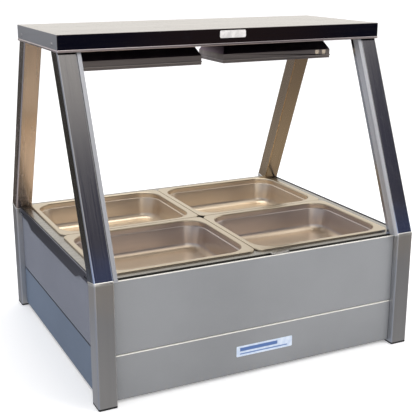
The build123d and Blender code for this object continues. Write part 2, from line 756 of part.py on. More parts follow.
with BuildPart() as thermostat_knob:
    with BuildSketch(rear_plane(KNOB_X, knob_base, KNOB_Z)):
        Circle(KNOB_RADIUS)
    extrude(amount=KNOB_SKIRT)
    with BuildSketch(rear_plane(KNOB_X, knob_base + KNOB_SKIRT, KNOB_Z)):
        Circle(KNOB_RADIUS - KNOB_SKIRT_STEP)
    extrude(amount=KNOB_LENGTH - KNOB_SKIRT, taper=KNOB_TAPER)
    with BuildSketch(rear_plane(KNOB_X, knob_base, KNOB_Z)):
        with PolarLocations(KNOB_RADIUS + KNOB_GRIP_OUT, KNOB_GRIPS):
            Circle(KNOB_GRIP_RADIUS)
    extrude(amount=KNOB_LENGTH, mode=Mode.SUBTRACT)
    with BuildSketch(rear_plane(KNOB_X, knob_base, KNOB_Z)):
        Circle(SHAFT_RADIUS + SCREW_FIT)
    extrude(amount=KNOB_LENGTH - KNOB_CAP, mode=Mode.SUBTRACT)
save(thermostat_knob, "thermostat_knob")

# Rocker switches: a housing with a bezel, and a rocker that tilts in it
rocker_y = face_y - ROCKER_SINK

with BuildPart() as switch_housings:
    for x in SWITCH_XS:
        with BuildSketch(rear_plane(x, face_y, SWITCH_Z)):
            Rectangle(switch_width, switch_height)
        extrude(amount=-SWITCH_DEPTH)
        with BuildSketch(rear_plane(x, face_y, SWITCH_Z)):
            RectangleRounded(switch_width + 2 * BEZEL_LAP, switch_height + 2 * BEZEL_LAP, BEZEL_CORNER)
        extrude(amount=SWITCH_BEZEL)
        with BuildSketch(rear_plane(x, face_y + SWITCH_BEZEL, SWITCH_Z)):
            Rectangle(ROCKER_WIDTH + 2 * SWITCH_CLEARANCE, 2 * (ROCKER_RADIUS + SWITCH_CLEARANCE))
        extrude(amount=-(SWITCH_DEPTH + SWITCH_BEZEL - SWITCH_WALL), mode=Mode.SUBTRACT)
        with BuildSketch(Plane.YZ.offset(x)):
            with Locations((rocker_y, SWITCH_Z)):
                Circle(PIVOT_HOLE_RADIUS)
        extrude(amount=switch_width / 2 - PIVOT_HOLE_WALL, both=True, mode=Mode.SUBTRACT)
save(switch_housings, "switch_housings")


def make_rocker(x):
    """Rocker at rest in its off position, with its two pivot pins."""
    outwards = (0, cos(radians(ROCKER_TILT)), -sin(radians(ROCKER_TILT)))
    plane = Plane(origin=(x, rocker_y, SWITCH_Z), x_dir=outwards, z_dir=(1, 0, 0))
    with BuildPart() as rocker:
        with BuildSketch(plane):
            Circle(ROCKER_RADIUS)
            with Locations((ROCKER_FRONT + ROCKER_RADIUS, 0)):
                Rectangle(2 * ROCKER_RADIUS, 2 * ROCKER_RADIUS, mode=Mode.SUBTRACT)
        extrude(amount=ROCKER_WIDTH / 2, both=True)
        with BuildSketch(plane):
            Circle(PIVOT_RADIUS)
        extrude(amount=ROCKER_WIDTH / 2 + SWITCH_CLEARANCE + PIVOT_REACH, both=True)
    return rocker


save(make_rocker(SWITCH_XS[0]), "power_rocker")
save(make_rocker(SWITCH_XS[1]), "lamp_rocker")

with BuildPart() as indicator_lens:
    with BuildSketch(rear_plane(INDICATOR_X, face_y, SWITCH_Z)):
        Circle(INDICATOR_RADIUS)
    extrude(amount=-INDICATOR_DEPTH)
    with BuildSketch(rear_plane(INDICATOR_X, face_y, SWITCH_Z)):
        Circle(INDICATOR_RADIUS + INDICATOR_LAP)
    extrude(amount=INDICATOR_RISE)
    fillet(indicator_lens.faces().sort_by(Axis.Y)[-1].edges(), INDICATOR_RISE / 2)
save(indicator_lens, "indicator_lens")

# Cable entry and terminal block
with BuildPart() as cable_gland:
    with BuildSketch(rear_plane(GLAND_X, face_y, GLAND_Z)):
        Circle(GLAND_RADIUS)
    extrude(amount=-GLAND_THREAD)
    with BuildSketch(rear_plane(GLAND_X, panel_back, GLAND_Z)):
        RegularPolygon(GLAND_HEX, 6)
    extrude(amount=-GLAND_NUT)
    with BuildSketch(rear_plane(GLAND_X, face_y, GLAND_Z)):
        RegularPolygon(GLAND_HEX, 6)
    extrude(amount=GLAND_BODY)
    with BuildSketch(rear_plane(GLAND_X, face_y + GLAND_BODY, GLAND_Z)):
        Circle(GLAND_RADIUS)
    extrude(amount=GLAND_DOME, taper=GLAND_DOME_TAPER)
    with BuildSketch(rear_plane(GLAND_X, face_y - GLAND_THREAD, GLAND_Z)):
        Circle(GLAND_BORE)
    extrude(amount=GLAND_THREAD + GLAND_BODY + GLAND_DOME, mode=Mode.SUBTRACT)
save(cable_gland, "cable_gland")

with BuildPart() as terminal_block:
    with BuildSketch(Plane.XY.offset(PANEL_BOTTOM)):
        with Locations((GLAND_X, inner_y - TERMINAL_IN)):
            Rectangle(TERMINAL_BASE[0], TERMINAL_BASE[1])
    extrude(amount=TERMINAL_BASE[2])
    with BuildSketch(Plane.XY.offset(PANEL_BOTTOM + TERMINAL_BASE[2])):
        with Locations((GLAND_X, inner_y - TERMINAL_IN)):
            with GridLocations(TERMINAL_POLE_PITCH, 1, TERMINAL_POLES, 1):
                Rectangle(TERMINAL_POLE[0], TERMINAL_POLE[1])
    extrude(amount=TERMINAL_POLE[2])
save(terminal_block, "terminal_block")

# Drain: elbow pipe, quarter-turn valve with a hose nozzle, and its lever
valve_y = drain_y + DRAIN_BEND + PIPE_TAIL
with BuildPart() as drain_pipe:
    with BuildLine():
        FilletPolyline(
            (DRAIN_X, drain_y, tank_under),
            (DRAIN_X, drain_y, DRAIN_Z),
            (DRAIN_X, valve_y, DRAIN_Z),
            radius=DRAIN_BEND,
        )
    with BuildSketch(Plane(origin=(DRAIN_X, drain_y, tank_under), z_dir=(0, 0, -1))):
        Circle(DRAIN_RADIUS)
        Circle(DRAIN_BORE, mode=Mode.SUBTRACT)
    sweep()
save(drain_pipe, "drain_pipe")

nozzle_tip = outer_y - NOZZLE_SHORT
valve_end = valve_y + 2 * VALVE_HEX_LENGTH + VALVE_BODY_LENGTH
stem_y = (valve_y + valve_end) / 2
lever_low = DRAIN_Z + VALVE_RADIUS + STEM_RISE + STEM_GAP
lever_high = lever_low + LEVER_THICK
with BuildPart() as drain_valve:
    with BuildSketch(rear_plane(DRAIN_X, valve_y, DRAIN_Z)):
        RegularPolygon(VALVE_HEX, 6)
    extrude(amount=VALVE_HEX_LENGTH)
    with BuildSketch(rear_plane(DRAIN_X, valve_y + VALVE_HEX_LENGTH, DRAIN_Z)):
        Circle(VALVE_RADIUS)
    extrude(amount=VALVE_BODY_LENGTH)
    with BuildSketch(rear_plane(DRAIN_X, valve_end - VALVE_HEX_LENGTH, DRAIN_Z)):
        RegularPolygon(VALVE_HEX, 6)
    extrude(amount=VALVE_HEX_LENGTH)
    with BuildSketch(rear_plane(DRAIN_X, valve_end, DRAIN_Z)):
        Circle(DRAIN_RADIUS)
    extrude(amount=nozzle_tip - valve_end)
    with BuildSketch(Plane(origin=(DRAIN_X, stem_y, DRAIN_Z), z_dir=(0, 0, 1))):
        Circle(STEM_BOSS_RADIUS)
    extrude(amount=VALVE_RADIUS + STEM_RISE)
    with BuildSketch(Plane(origin=(DRAIN_X, stem_y, DRAIN_Z), z_dir=(0, 0, 1))):
        Circle(STEM_RADIUS)
    extrude(amount=lever_high - DRAIN_Z + STEM_GAP)
    with BuildSketch(Plane(origin=(DRAIN_X, stem_y, lever_high + STEM_GAP), z_dir=(0, 0, 1))):
        RegularPolygon(STEM_NUT[0], 6)
    extrude(amount=STEM_NUT[1])
    with BuildSketch(rear_plane(DRAIN_X, valve_y, DRAIN_Z)):
        Circle(DRAIN_BORE)
    extrude(amount=nozzle_tip - valve_y, mode=Mode.SUBTRACT)
save(drain_valve, "drain_valve")

with BuildPart() as drain_lever:
    with BuildSketch(Plane.XY.offset(lever_low)):
        with Locations((DRAIN_X, stem_y)):
            Circle(LEVER_HUB_RADIUS)
        with Locations((DRAIN_X + LEVER_LENGTH / 2, stem_y)):
            SlotOverall(LEVER_LENGTH, LEVER_WIDTH)
    extrude(amount=LEVER_THICK)
    with BuildSketch(Plane.XY.offset(lever_low - SLEEVE_RISE)):
        with Locations((DRAIN_X + LEVER_LENGTH - SLEEVE_IN, stem_y)):
            SlotOverall(SLEEVE_LENGTH, LEVER_WIDTH + 2 * SLEEVE_WALL)
    extrude(amount=LEVER_THICK + 2 * SLEEVE_RISE)
    with BuildSketch(Plane.XY.offset(lever_low)):
        with Locations((DRAIN_X, stem_y)):
            Circle(STEM_RADIUS + SCREW_FIT)
    extrude(amount=LEVER_THICK, mode=Mode.SUBTRACT)
save(drain_lever, "drain_lever")

# Canopy: a tray open below, with a returned lip along the front and the rear between the arms
canopy_half_x = outer_x + SHEET
with BuildPart() as canopy:
    with BuildSketch(Plane.XY.offset(canopy_bottom)):
        Rectangle(2 * canopy_half_x, CANOPY_DEPTH)
    extrude(amount=CANOPY_FACE)
    with BuildSketch(Plane.XY.offset(canopy_bottom)):
        Rectangle(2 * outer_x, CANOPY_DEPTH - 2 * SHEET)
    extrude(amount=CANOPY_FACE - SHEET, mode=Mode.SUBTRACT)
    with BuildSketch(Plane.XY.offset(canopy_bottom)):
        lip_y = CANOPY_DEPTH / 2 - SHEET - CANOPY_LIP / 2
        with Locations((0, lip_y), (0, -lip_y)):
            Rectangle(2 * (inner_x - PANEL_FIT), CANOPY_LIP)
    extrude(amount=SHEET)
    with BuildSketch(Plane.YZ):
        with GridLocations(2 * canopy_screw_y, 1, 2, 1):
            with Locations((0, canopy_screw_z)):
                Circle(SCREW_RADIUS + SCREW_FIT)
    extrude(amount=canopy_half_x, both=True, mode=Mode.SUBTRACT)
save(canopy, "canopy")

with BuildPart() as canopy_cover:
    with BuildSketch(Plane.XY.offset(canopy_bottom)):
        Rectangle(2 * (inner_x - PANEL_FIT), CANOPY_DEPTH - 2 * (SHEET + CANOPY_LIP + PANEL_FIT))
        with Locations((lamp_x, 0), (-lamp_x, 0)):
            Circle(COVER_HOLE_RADIUS, mode=Mode.SUBTRACT)
    extrude(amount=SHEET)
save(canopy_cover, "canopy_cover")

with BuildPart() as canopy_screws:
    for side in (-1, 1):
        with BuildSketch(Plane.YZ.offset(side * canopy_half_x)):
            with Locations((canopy_screw_y, canopy_screw_z), (-canopy_screw_y, canopy_screw_z)):
                Circle(SCREW_HEAD)
        extrude(amount=side * CANOPY_HEAD_RISE)
        with BuildSketch(Plane.YZ.offset(side * canopy_half_x)):
            with Locations((canopy_screw_y, canopy_screw_z), (-canopy_screw_y, canopy_screw_z)):
                Circle(SCREW_RADIUS)
        extrude(amount=-side * CANOPY_SCREW_LENGTH)
save(canopy_screws, "canopy_screws")

with BuildPart() as badge:
    with BuildSketch(Plane.XZ.offset(CANOPY_DEPTH / 2)):
        with Locations((BADGE_X, HEIGHT - CANOPY_FACE / 3)):
            RectangleRounded(BADGE[0], BADGE[1], BADGE_CORNER)
    extrude(amount=BADGE[2])
save(badge, "badge")


# Lamp housings: a straight skirt below, hipped faces above, open underneath
window_x = lamp_x + lamp_length / 2 - WINDOW_END_GAP - WINDOW / 2
window_z = skirt_top - WINDOW_DROP - WINDOW / 2
windows = [(window_x, window_z), (window_x - WINDOW_PITCH, window_z)]


def make_lamp_housing(side):
    """One housing with a stiffening bead; the right one has two square windows near its outer end."""
    centre = (side * lamp_x, 0)
    top_length = lamp_length - 2 * LAMP_END_INSET
    top_width = LAMP_WIDTH - 2 * LAMP_SLOPE_INSET
    wall = 2 * LAMP_SHEET
    with BuildPart() as housing:
        with BuildSketch(Plane.XY.offset(lamp_bottom)):
            with Locations(centre):
                Rectangle(lamp_length, LAMP_WIDTH)
        extrude(amount=LAMP_SKIRT)
        with BuildSketch(Plane.XY.offset(lamp_bottom + LAMP_BEAD_RISE)):
            with Locations(centre):
                Rectangle(lamp_length + 2 * LAMP_BEAD, LAMP_WIDTH + 2 * LAMP_BEAD)
        extrude(amount=LAMP_BEAD_HEIGHT)
        with BuildSketch(Plane.XY.offset(skirt_top)):
            with Locations(centre):
                Rectangle(lamp_length, LAMP_WIDTH)
        with BuildSketch(Plane.XY.offset(canopy_bottom)):
            with Locations(centre):
                Rectangle(top_length, top_width)
        loft()
        with BuildSketch(Plane.XY.offset(lamp_bottom)):
            with Locations(centre):
                Rectangle(lamp_length - wall, LAMP_WIDTH - wall)
        extrude(amount=LAMP_SKIRT, mode=Mode.SUBTRACT)
        with BuildSketch(Plane.XY.offset(skirt_top)):
            with Locations(centre):
                Rectangle(lamp_length - wall, LAMP_WIDTH - wall)
        with BuildSketch(Plane.XY.offset(canopy_bottom - LAMP_SHEET)):
            with Locations(centre):
                Rectangle(top_length - wall, top_width - wall)
        loft(mode=Mode.SUBTRACT)
        if side > 0:
            with BuildSketch(Plane.XZ):
                with Locations(*windows):
                    Rectangle(WINDOW, WINDOW)
            extrude(amount=LAMP_WIDTH, mode=Mode.SUBTRACT)
    return housing


save(make_lamp_housing(-1), "lamp_housing_left")
save(make_lamp_housing(1), "lamp_housing_right")

reflector_top = canopy_bottom - LAMP_SHEET
reflector_low = lamp_bottom + REFLECTOR_RISE
reflector_mid = (reflector_top + reflector_low) / 2 + REFLECTOR_BREAK
reflector_half = LAMP_WIDTH / 2 - REFLECTOR_ASIDE
shoulder = reflector_half - REFLECTOR_SHOULDER
with BuildPart() as lamp_reflectors:
    for side in (-1, 1):
        with BuildSketch(Plane.YZ.offset(side * lamp_x)):
            with BuildLine():
                outer_trough = Polyline(
                    (-reflector_half, reflector_low),
                    (-shoulder, reflector_mid),
                    (-REFLECTOR_TOP_HALF, reflector_top),
                    (REFLECTOR_TOP_HALF, reflector_top),
                    (shoulder, reflector_mid),
                    (reflector_half, reflector_low),
                )
                offset(outer_trough, amount=REFLECTOR_SHEET, side=Side.RIGHT)
            make_face()
        extrude(amount=lamp_length / 2 - HOLDER[0] - REFLECTOR_END_GAP, both=True)
save(lamp_reflectors, "lamp_reflectors")

quartz_z = lamp_bottom + QUARTZ_DROP
quartz_half = lamp_length / 2 - LAMP_SHEET - HOLDER[0] / 3
with BuildPart() as lamp_holders:
    for side in (-1, 1):
        for end in (-1, 1):
            x = side * lamp_x + end * (lamp_length / 2 - LAMP_SHEET)
            with BuildSketch(Plane(origin=(x, 0, quartz_z), x_dir=(0, 1, 0), z_dir=(-end, 0, 0))):
                Rectangle(HOLDER[1], HOLDER[2])
            extrude(amount=HOLDER[0])
        with BuildSketch(Plane.YZ.offset(side * lamp_x)):
            with Locations((0, quartz_z)):
                Circle(QUARTZ_RADIUS + SCREW_FIT)
        extrude(amount=quartz_half, both=True, mode=Mode.SUBTRACT)
save(lamp_holders, "lamp_holders")

with BuildPart() as quartz_lamps:
    for side in (-1, 1):
        with BuildSketch(Plane.YZ.offset(side * lamp_x)):
            with Locations((0, quartz_z)):
                Circle(QUARTZ_RADIUS)
        extrude(amount=quartz_half, both=True)
save(quartz_lamps, "quartz_lamps")

# Ceramic terminals behind the windows of the right lamp housing
with BuildPart() as lamp_terminals:
    with BuildSketch(Plane.XZ.offset(LAMP_WIDTH / 2 - LAMP_SHEET)):
        with Locations(*windows):
            Rectangle(WINDOW + 2 * TERMINAL_LAP, WINDOW + 2 * TERMINAL_LAP)
    extrude(amount=-TERMINAL_THICK)
save(lamp_terminals, "lamp_terminals")
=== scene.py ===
import json
from math import atan2, cos, pi, radians, sin, tan

import bmesh
import bpy
from mathutils import Matrix, Vector


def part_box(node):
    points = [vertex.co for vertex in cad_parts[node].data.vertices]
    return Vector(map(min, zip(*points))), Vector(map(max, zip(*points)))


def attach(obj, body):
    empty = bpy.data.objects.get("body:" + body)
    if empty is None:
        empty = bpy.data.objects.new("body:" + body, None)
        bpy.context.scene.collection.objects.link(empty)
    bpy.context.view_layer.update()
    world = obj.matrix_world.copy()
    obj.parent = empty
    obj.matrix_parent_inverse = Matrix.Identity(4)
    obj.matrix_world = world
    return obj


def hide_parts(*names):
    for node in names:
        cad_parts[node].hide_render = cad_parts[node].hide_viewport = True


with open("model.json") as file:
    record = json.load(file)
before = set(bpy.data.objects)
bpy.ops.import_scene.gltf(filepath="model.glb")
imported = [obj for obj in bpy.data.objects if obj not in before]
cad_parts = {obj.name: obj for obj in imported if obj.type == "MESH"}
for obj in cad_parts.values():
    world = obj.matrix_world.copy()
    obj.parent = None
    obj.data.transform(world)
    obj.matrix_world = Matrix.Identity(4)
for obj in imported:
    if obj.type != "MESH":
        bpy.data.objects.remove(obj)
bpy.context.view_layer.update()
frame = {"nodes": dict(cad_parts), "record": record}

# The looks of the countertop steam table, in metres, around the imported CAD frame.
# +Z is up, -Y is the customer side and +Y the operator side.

MM = 0.001
scene = bpy.context.scene
CORNERS = ("front_left", "front_right", "rear_left", "rear_right")


# ---------------------------------------------------------------- node helpers
class Shader:
    """A material's node tree with short calls for the nodes used here."""

    def __init__(self, name, base=(0.5, 0.5, 0.5), metallic=0.0, roughness=0.5):
        self.material = bpy.data.materials.new(name)
        self.material.use_nodes = True
        self.tree = self.material.node_tree
        self.bsdf = self.tree.nodes["Principled BSDF"]
        self.set("Base Color", (*base, 1.0))
        self.set("Metallic", metallic)
        self.set("Roughness", roughness)
        self.place = self.add("ShaderNodeTexCoord").outputs["Object"]

    def add(self, kind, **values):
        node = self.tree.nodes.new(kind)
        for key, value in values.items():
            setattr(node, key, value)
        return node

    def feed(self, socket, value):
        """Link a socket, or set its value when it is a number or a colour."""
        if isinstance(value, bpy.types.NodeSocket):
            self.tree.links.new(value, socket)
        else:
            socket.default_value = value

    def set(self, name, value):
        self.feed(self.bsdf.inputs[name], value)

    def current(self, name):
        """The socket that feeds one of the shader's inputs so far."""
        return self.bsdf.inputs[name].links[0].from_socket

    def math(self, operation, first, second=0.0, third=None, clamp=False):
        node = self.add("ShaderNodeMath", operation=operation, use_clamp=clamp)
        self.feed(node.inputs[0], first)
        self.feed(node.inputs[1], second)
        if third is not None:
            self.feed(node.inputs[2], third)
        return node.outputs[0]

    def axes(self, place=None):
        node = self.add("ShaderNodeSeparateXYZ")
        self.feed(node.inputs[0], place or self.place)
        return node.outputs[0], node.outputs[1], node.outputs[2]

    def scaled(self, scale, rotation=(0.0, 0.0, 0.0), place=None):
        """Object coordinates turned and then stretched: a low scale along an axis makes grain along it."""
        turned = self.add("ShaderNodeMapping", vector_type="POINT")
        self.feed(turned.inputs["Vector"], place or self.place)
        turned.inputs["Rotation"].default_value = rotation
        stretched = self.add("ShaderNodeVectorMath", operation="MULTIPLY")
        self.feed(stretched.inputs[0], turned.outputs[0])
        stretched.inputs[1].default_value = scale
        return stretched.outputs[0]

    def noise(self, place, scale=1.0, detail=2.0, rough=0.5, warp=0.0):
        node = self.add("ShaderNodeTexNoise")
        self.feed(node.inputs["Vector"], place)
        node.inputs["Scale"].default_value = scale
        node.inputs["Detail"].default_value = detail
        node.inputs["Roughness"].default_value = rough
        node.inputs["Distortion"].default_value = warp
        return node.outputs["Fac"]

    def span(self, value, low, high, to_low=0.0, to_high=1.0):
        """Map a value from one range to another, smoothly and clamped."""
        node = self.add("ShaderNodeMapRange", interpolation_type="SMOOTHSTEP")
        self.feed(node.inputs["Value"], value)
        node.inputs["From Min"].default_value = low
        node.inputs["From Max"].default_value = high
        node.inputs["To Min"].default_value = to_low
        node.inputs["To Max"].default_value = to_high
        return node.outputs["Result"]

    def mix(self, factor, first, second):
        node = self.add("ShaderNodeMix", data_type="RGBA", clamp_factor=True)
        self.feed(node.inputs["Factor"], factor)
        colours = [s for s in node.inputs if s.type == "RGBA"]
        for socket, value in zip(colours, (first, second)):
            self.feed(socket, (*value, 1.0) if isinstance(value, tuple) else value)
        return [s for s in node.outputs if s.type == "RGBA"][0]

    def bump(self, height, strength, distance):
        node = self.add("ShaderNodeBump")
        node.inputs["Strength"].default_value = strength
        node.inputs["Distance"].default_value = distance
        self.feed(node.inputs["Height"], height)
        self.set("Normal", node.outputs[0])


# ---------------------------------------------------------------- materials
HANDLING_STAIN = (0.33, 0.24, 0.17)
GRAIN_ALONG, GRAIN_ACROSS = 5, 420
STREAK_ALONG, STREAK_ACROSS = 1.2, 46
WELD_TONE = (0.80, 0.79, 0.75)
WELD_EDGES = (1.2 * MM, 3.4 * MM)
# Band next to the mitre: heat colour on the legs, painted reflection tones on the arms.
HEAT_AND_REFLECTION_START = 30.0 * MM
HEAT_AND_REFLECTION_RAGGED = 50.0 * MM
# Painted shade towards the tops of the rear arms, under the canopy.
TOP_SHADE_LOW, TOP_SHADE_HIGH = 60.0 * MM, 80.0 * MM
SHADE_BLUR = 0.4 * MM
BEAD_BLUR = 0.6 * MM
# Painted highlight along the lamp skirt's bead.
BEAD_HIGHLIGHT = (0.80, 0.76, 0.72)
# Painted shade on the lamp slopes, deep and pale by noise.
SLOPE_SHADE_DEEP, SLOPE_SHADE_PALE = (0.34, 0.25, 0.33), (0.46, 0.36, 0.42)
# Band along the panels' top fold: painted highlight on the front and rear panels, painted shade on the sides.
FOLD_EDGES = (2.0 * MM, 3.2 * MM)
FOLD_RAGGED = 0.8 * MM
PAN_RIM_EDGES = (5.0 * MM, 2.0 * MM)
# Band of painted golden light on the pan floors.
PAN_FLOOR_GLOW_EDGES = (60.0 * MM, 52.0 * MM)


def tone(colour, factor):
    """A colour made lighter or darker."""
    return tuple(min(1.0, c * factor) for c in colour)


def stretched(along, low, high):
    """Noise scale on three axes, low along the named one."""
    return tuple(low if axis == along else high for axis in "XYZ")


def brushed_steel(name, base, roughness, along="X", tilt=0.0, fine=0.04, stained=0.12, wave=0.0, streak=0.10):
    """Brushed stainless steel: long fine grain, broad soft streaks, handling marks and wiped patches."""
    s = Shader(name, base, 1.0, roughness)
    turn = (tilt, 0.0, 0.0)
    grain = s.noise(s.scaled(stretched(along, GRAIN_ALONG, GRAIN_ACROSS), turn), 1.0, 5.0, 0.62)
    streaks = s.noise(s.scaled(stretched(along, STREAK_ALONG, STREAK_ACROSS), turn), 1.0, 3.0, 0.55)
    marks = s.noise(s.place, 7.0, 5.0, 0.6, 0.6)
    wipes = s.noise(s.scaled((22, 22, 9), (0.4, 0.5, 0.9)), 1.0, 4.0, 0.7, 1.2)
    colour = s.mix(s.span(streaks, 0.36, 0.64), tone(base, 1.0 - streak), tone(base, 1.0 + streak))
    colour = s.mix(s.math("MULTIPLY", s.span(marks, 0.50, 0.78), stained), colour, HANDLING_STAIN)
    s.set("Base Color", colour)
    rough = s.math("MULTIPLY_ADD", s.span(grain, 0.3, 0.7), 0.10, roughness - 0.04)
    rough = s.math("MULTIPLY_ADD", s.span(wipes, 0.52, 0.72), 0.06, rough, clamp=True)
    s.set("Roughness", rough)
    height = s.math("MULTIPLY_ADD", grain, fine, 0.0)
    if wave:
        height = s.math("MULTIPLY_ADD", s.noise(s.place, 3.2, 1.0, 0.4), wave, height)
    s.bump(height, 0.55, 0.002)
    return s


def at_mitre(s, end):
    """Signed distance of a point from the mitre between a leg and its arm, up the arm being positive."""
    mitre = mitre_point(end)
    y, z = s.axes()[1:]
    normal = (-end * sin(lean / 2), cos(lean / 2))
    offset = normal[0] * mitre[0] + normal[1] * mitre[1]
    along = s.math("MULTIPLY_ADD", y, normal[0], -offset)
    return s.math("MULTIPLY_ADD", z, normal[1], along)


def tube_steel(name, base, roughness, end, tilt, heat_and_reflection_tint, heat_and_reflection_reach, fine, stained, streak):
    """Tube steel with its grain along the tube, a dressed weld and a tint next to the mitre: heat colour on
    the legs, painted reflection tones on the arms.
    """
    s = brushed_steel(name, base, roughness, "Z", tilt, fine=fine, stained=stained, streak=streak)
    distance = s.math("ABSOLUTE", at_mitre(s, end))
    patchy = s.math("MULTIPLY_ADD", s.noise(s.place, 26.0, 3.0, 0.6), HEAT_AND_REFLECTION_RAGGED, distance)
    # The tint band near the mitre: heat colour on the legs, and on the arms a painted reflection of what they
    # face.
    heat_and_reflection = s.span(patchy, HEAT_AND_REFLECTION_START, HEAT_AND_REFLECTION_START + heat_and_reflection_reach, 0.85, 0.0)
    weld = s.span(distance, *WELD_EDGES, 1.0, 0.0)
    colour = s.mix(heat_and_reflection, s.current("Base Color"), heat_and_reflection_tint)
    s.set("Base Color", s.mix(weld, colour, WELD_TONE))
    return s


def smoked(s, top_shade):
    """Painted shade: a tube darkened towards its upper end, under the canopy."""
    rise = s.span(s.axes()[2], low_arm.z + TOP_SHADE_LOW, high_arm.z - TOP_SHADE_HIGH)
    s.set("Base Color", s.mix(s.math("MULTIPLY", rise, 0.9), s.current("Base Color"), top_shade))
    return s


def canopy_steel(name, base, side):
    """Polished sheet on the long faces; the two ends are satin, with a lighter, greyer base colour painted on
    them as painted light on the end faces.
    """
    s = brushed_steel(name, base, 0.09, "X", fine=0.004, stained=0.04, wave=0.04, streak=0.05)
    facing = s.add("ShaderNodeSeparateXYZ")
    s.feed(facing.inputs[0], s.add("ShaderNodeTexCoord").outputs["Normal"])
    ends = s.span(s.math("ABSOLUTE", facing.outputs[0]), 0.55, 0.85)
    colour = s.current("Base Color")
    rough = s.current("Roughness")
    # Painted light: the end faces, picked by their normal, get the lighter grey.
    s.set("Base Color", s.mix(ends, colour, side))
    s.set("Roughness", s.math("MULTIPLY_ADD", ends, 0.38, rough, clamp=True))
    return s


def lamp_steel(name, shade_height, bead_low, bead_high):
    """Housing sheet: slopes with painted shade, and a satin skirt below with a painted highlight line along
    it.
    """
    s = brushed_steel(name, (0.46, 0.41, 0.39), 0.46, "X", fine=0.02, stained=0.10, streak=0.12)
    z = s.axes()[2]
    above = s.span(z, shade_height - SHADE_BLUR, shade_height + SHADE_BLUR)
    cloud = s.noise(s.place, 14.0, 4.0, 0.6)
    # Painted shade on the slopes above the skirt.
    slope_shade = s.mix(s.span(cloud, 0.35, 0.7), SLOPE_SHADE_DEEP, SLOPE_SHADE_PALE)
    on_bead = s.math("MULTIPLY", s.span(z, bead_low, bead_low + BEAD_BLUR),
                     s.span(z, bead_high - BEAD_BLUR, bead_high, 1.0, 0.0))
    # Painted highlight along the bead.
    colour = s.mix(s.math("MULTIPLY", on_bead, 0.8), s.current("Base Color"), BEAD_HIGHLIGHT)
    s.set("Base Color", s.mix(above, colour, slope_shade))
    s.set("Roughness", s.math("MULTIPLY_ADD", above, -0.06, s.current("Roughness")))
    return s


def drawn_steel(name, base, stain, rim, floor, top):
    """Bright drawn stainless of the pans: satin and smooth, with faint draw lines and a warm cloudy tone.

    The rims are duller; the floors are painted paler and more golden than the walls, a painted glow standing
    in for the lamps' warm light and reflections.
    """
    s = Shader(name, base, 1.0, 0.28)
    lines = s.noise(s.scaled((3, 3, 60)), 1.0, 1.0, 0.4)
    cloud = s.noise(s.place, 6.0, 3.0, 0.5)
    colour = s.mix(s.span(lines, 0.35, 0.65), tone(base, 0.98), tone(base, 1.02))
    colour = s.mix(s.math("MULTIPLY", s.span(cloud, 0.45, 0.75), 0.18), colour, stain)
    z = s.axes()[2]
    on_rim = s.span(z, *(top - depth for depth in PAN_RIM_EDGES))
    # Painted light: the floor gets a paler, golden base colour and less metal, standing in for the lamps'
    # warm light.
    floor_glow = s.span(z, *(top - depth for depth in PAN_FLOOR_GLOW_EDGES), 1.0, 0.0)
    s.set("Base Color", s.mix(floor_glow, s.mix(on_rim, colour, rim), floor))
    s.set("Metallic", s.math("MULTIPLY_ADD", floor_glow, -0.35, 1.0))
    s.set("Roughness", s.math("MULTIPLY_ADD", cloud, 0.10, 0.25))
    s.bump(s.noise(s.place, 700.0, 1.0, 0.4), 0.03, 0.0001)
    return s


def coated_panel(name, base, edge, top):
    """Matte coated sheet: fine orange peel, faint cloudy tone, scuffs, and a painted band along the top fold:
    a painted highlight on the front and rear panels, painted shade on the side panels.
    """
    s = Shader(name, base, 0.0, 0.6)
    s.set("Specular IOR Level", 0.22)
    clouds = s.noise(s.place, 3.0, 4.0, 0.55)
    fine = s.noise(s.place, 900.0, 2.0, 0.5)
    scuffs = s.noise(s.scaled((14, 14, 60), (0.2, 0.1, 0.3)), 1.0, 6.0, 0.7, 0.8)
    colour = s.mix(s.span(clouds, 0.35, 0.65), tone(base, 0.93), tone(base, 1.05))
    colour = s.mix(s.math("MULTIPLY", s.span(fine, 0.45, 0.75), 0.10), colour, tone(base, 1.35))
    colour = s.mix(s.math("MULTIPLY", s.span(scuffs, 0.66, 0.80), 0.25), colour, tone(base, 1.25))
    # Painted band along the top fold in the edge colour: highlight on front and rear panels, shade on the
    # sides.
    fold = s.math("SUBTRACT", top, s.axes()[2])
    ragged = s.math("MULTIPLY_ADD", s.noise(s.place, 60.0, 3.0, 0.6), FOLD_RAGGED, fold)
    colour = s.mix(s.span(ragged, *FOLD_EDGES, 0.9, 0.0), colour, edge)
    s.set("Base Color", colour)
    s.set("Roughness", s.math("MULTIPLY_ADD", clouds, 0.14, 0.54))
    s.bump(s.noise(s.place, 1400.0, 2.0, 0.5), 0.12, 0.0004)
    return s


def plastic(name, base, roughness=0.42, grain=1100.0, strength=0.25, dust=(0.20, 0.19, 0.18)):
    """Moulded plastic with a fine spark texture, faint dust and uneven gloss."""
    s = Shader(name, base, 0.0, roughness)
    cloud = s.noise(s.place, 34.0, 4.0, 0.6)
    s.set("Base Color", s.mix(s.math("MULTIPLY", s.span(cloud, 0.45, 0.8), 0.22), base, dust))
    s.set("Roughness", s.math("MULTIPLY_ADD", cloud, 0.18, roughness - 0.09))
    s.bump(s.noise(s.place, grain, 2.0, 0.5), strength, 0.0003)
    return s


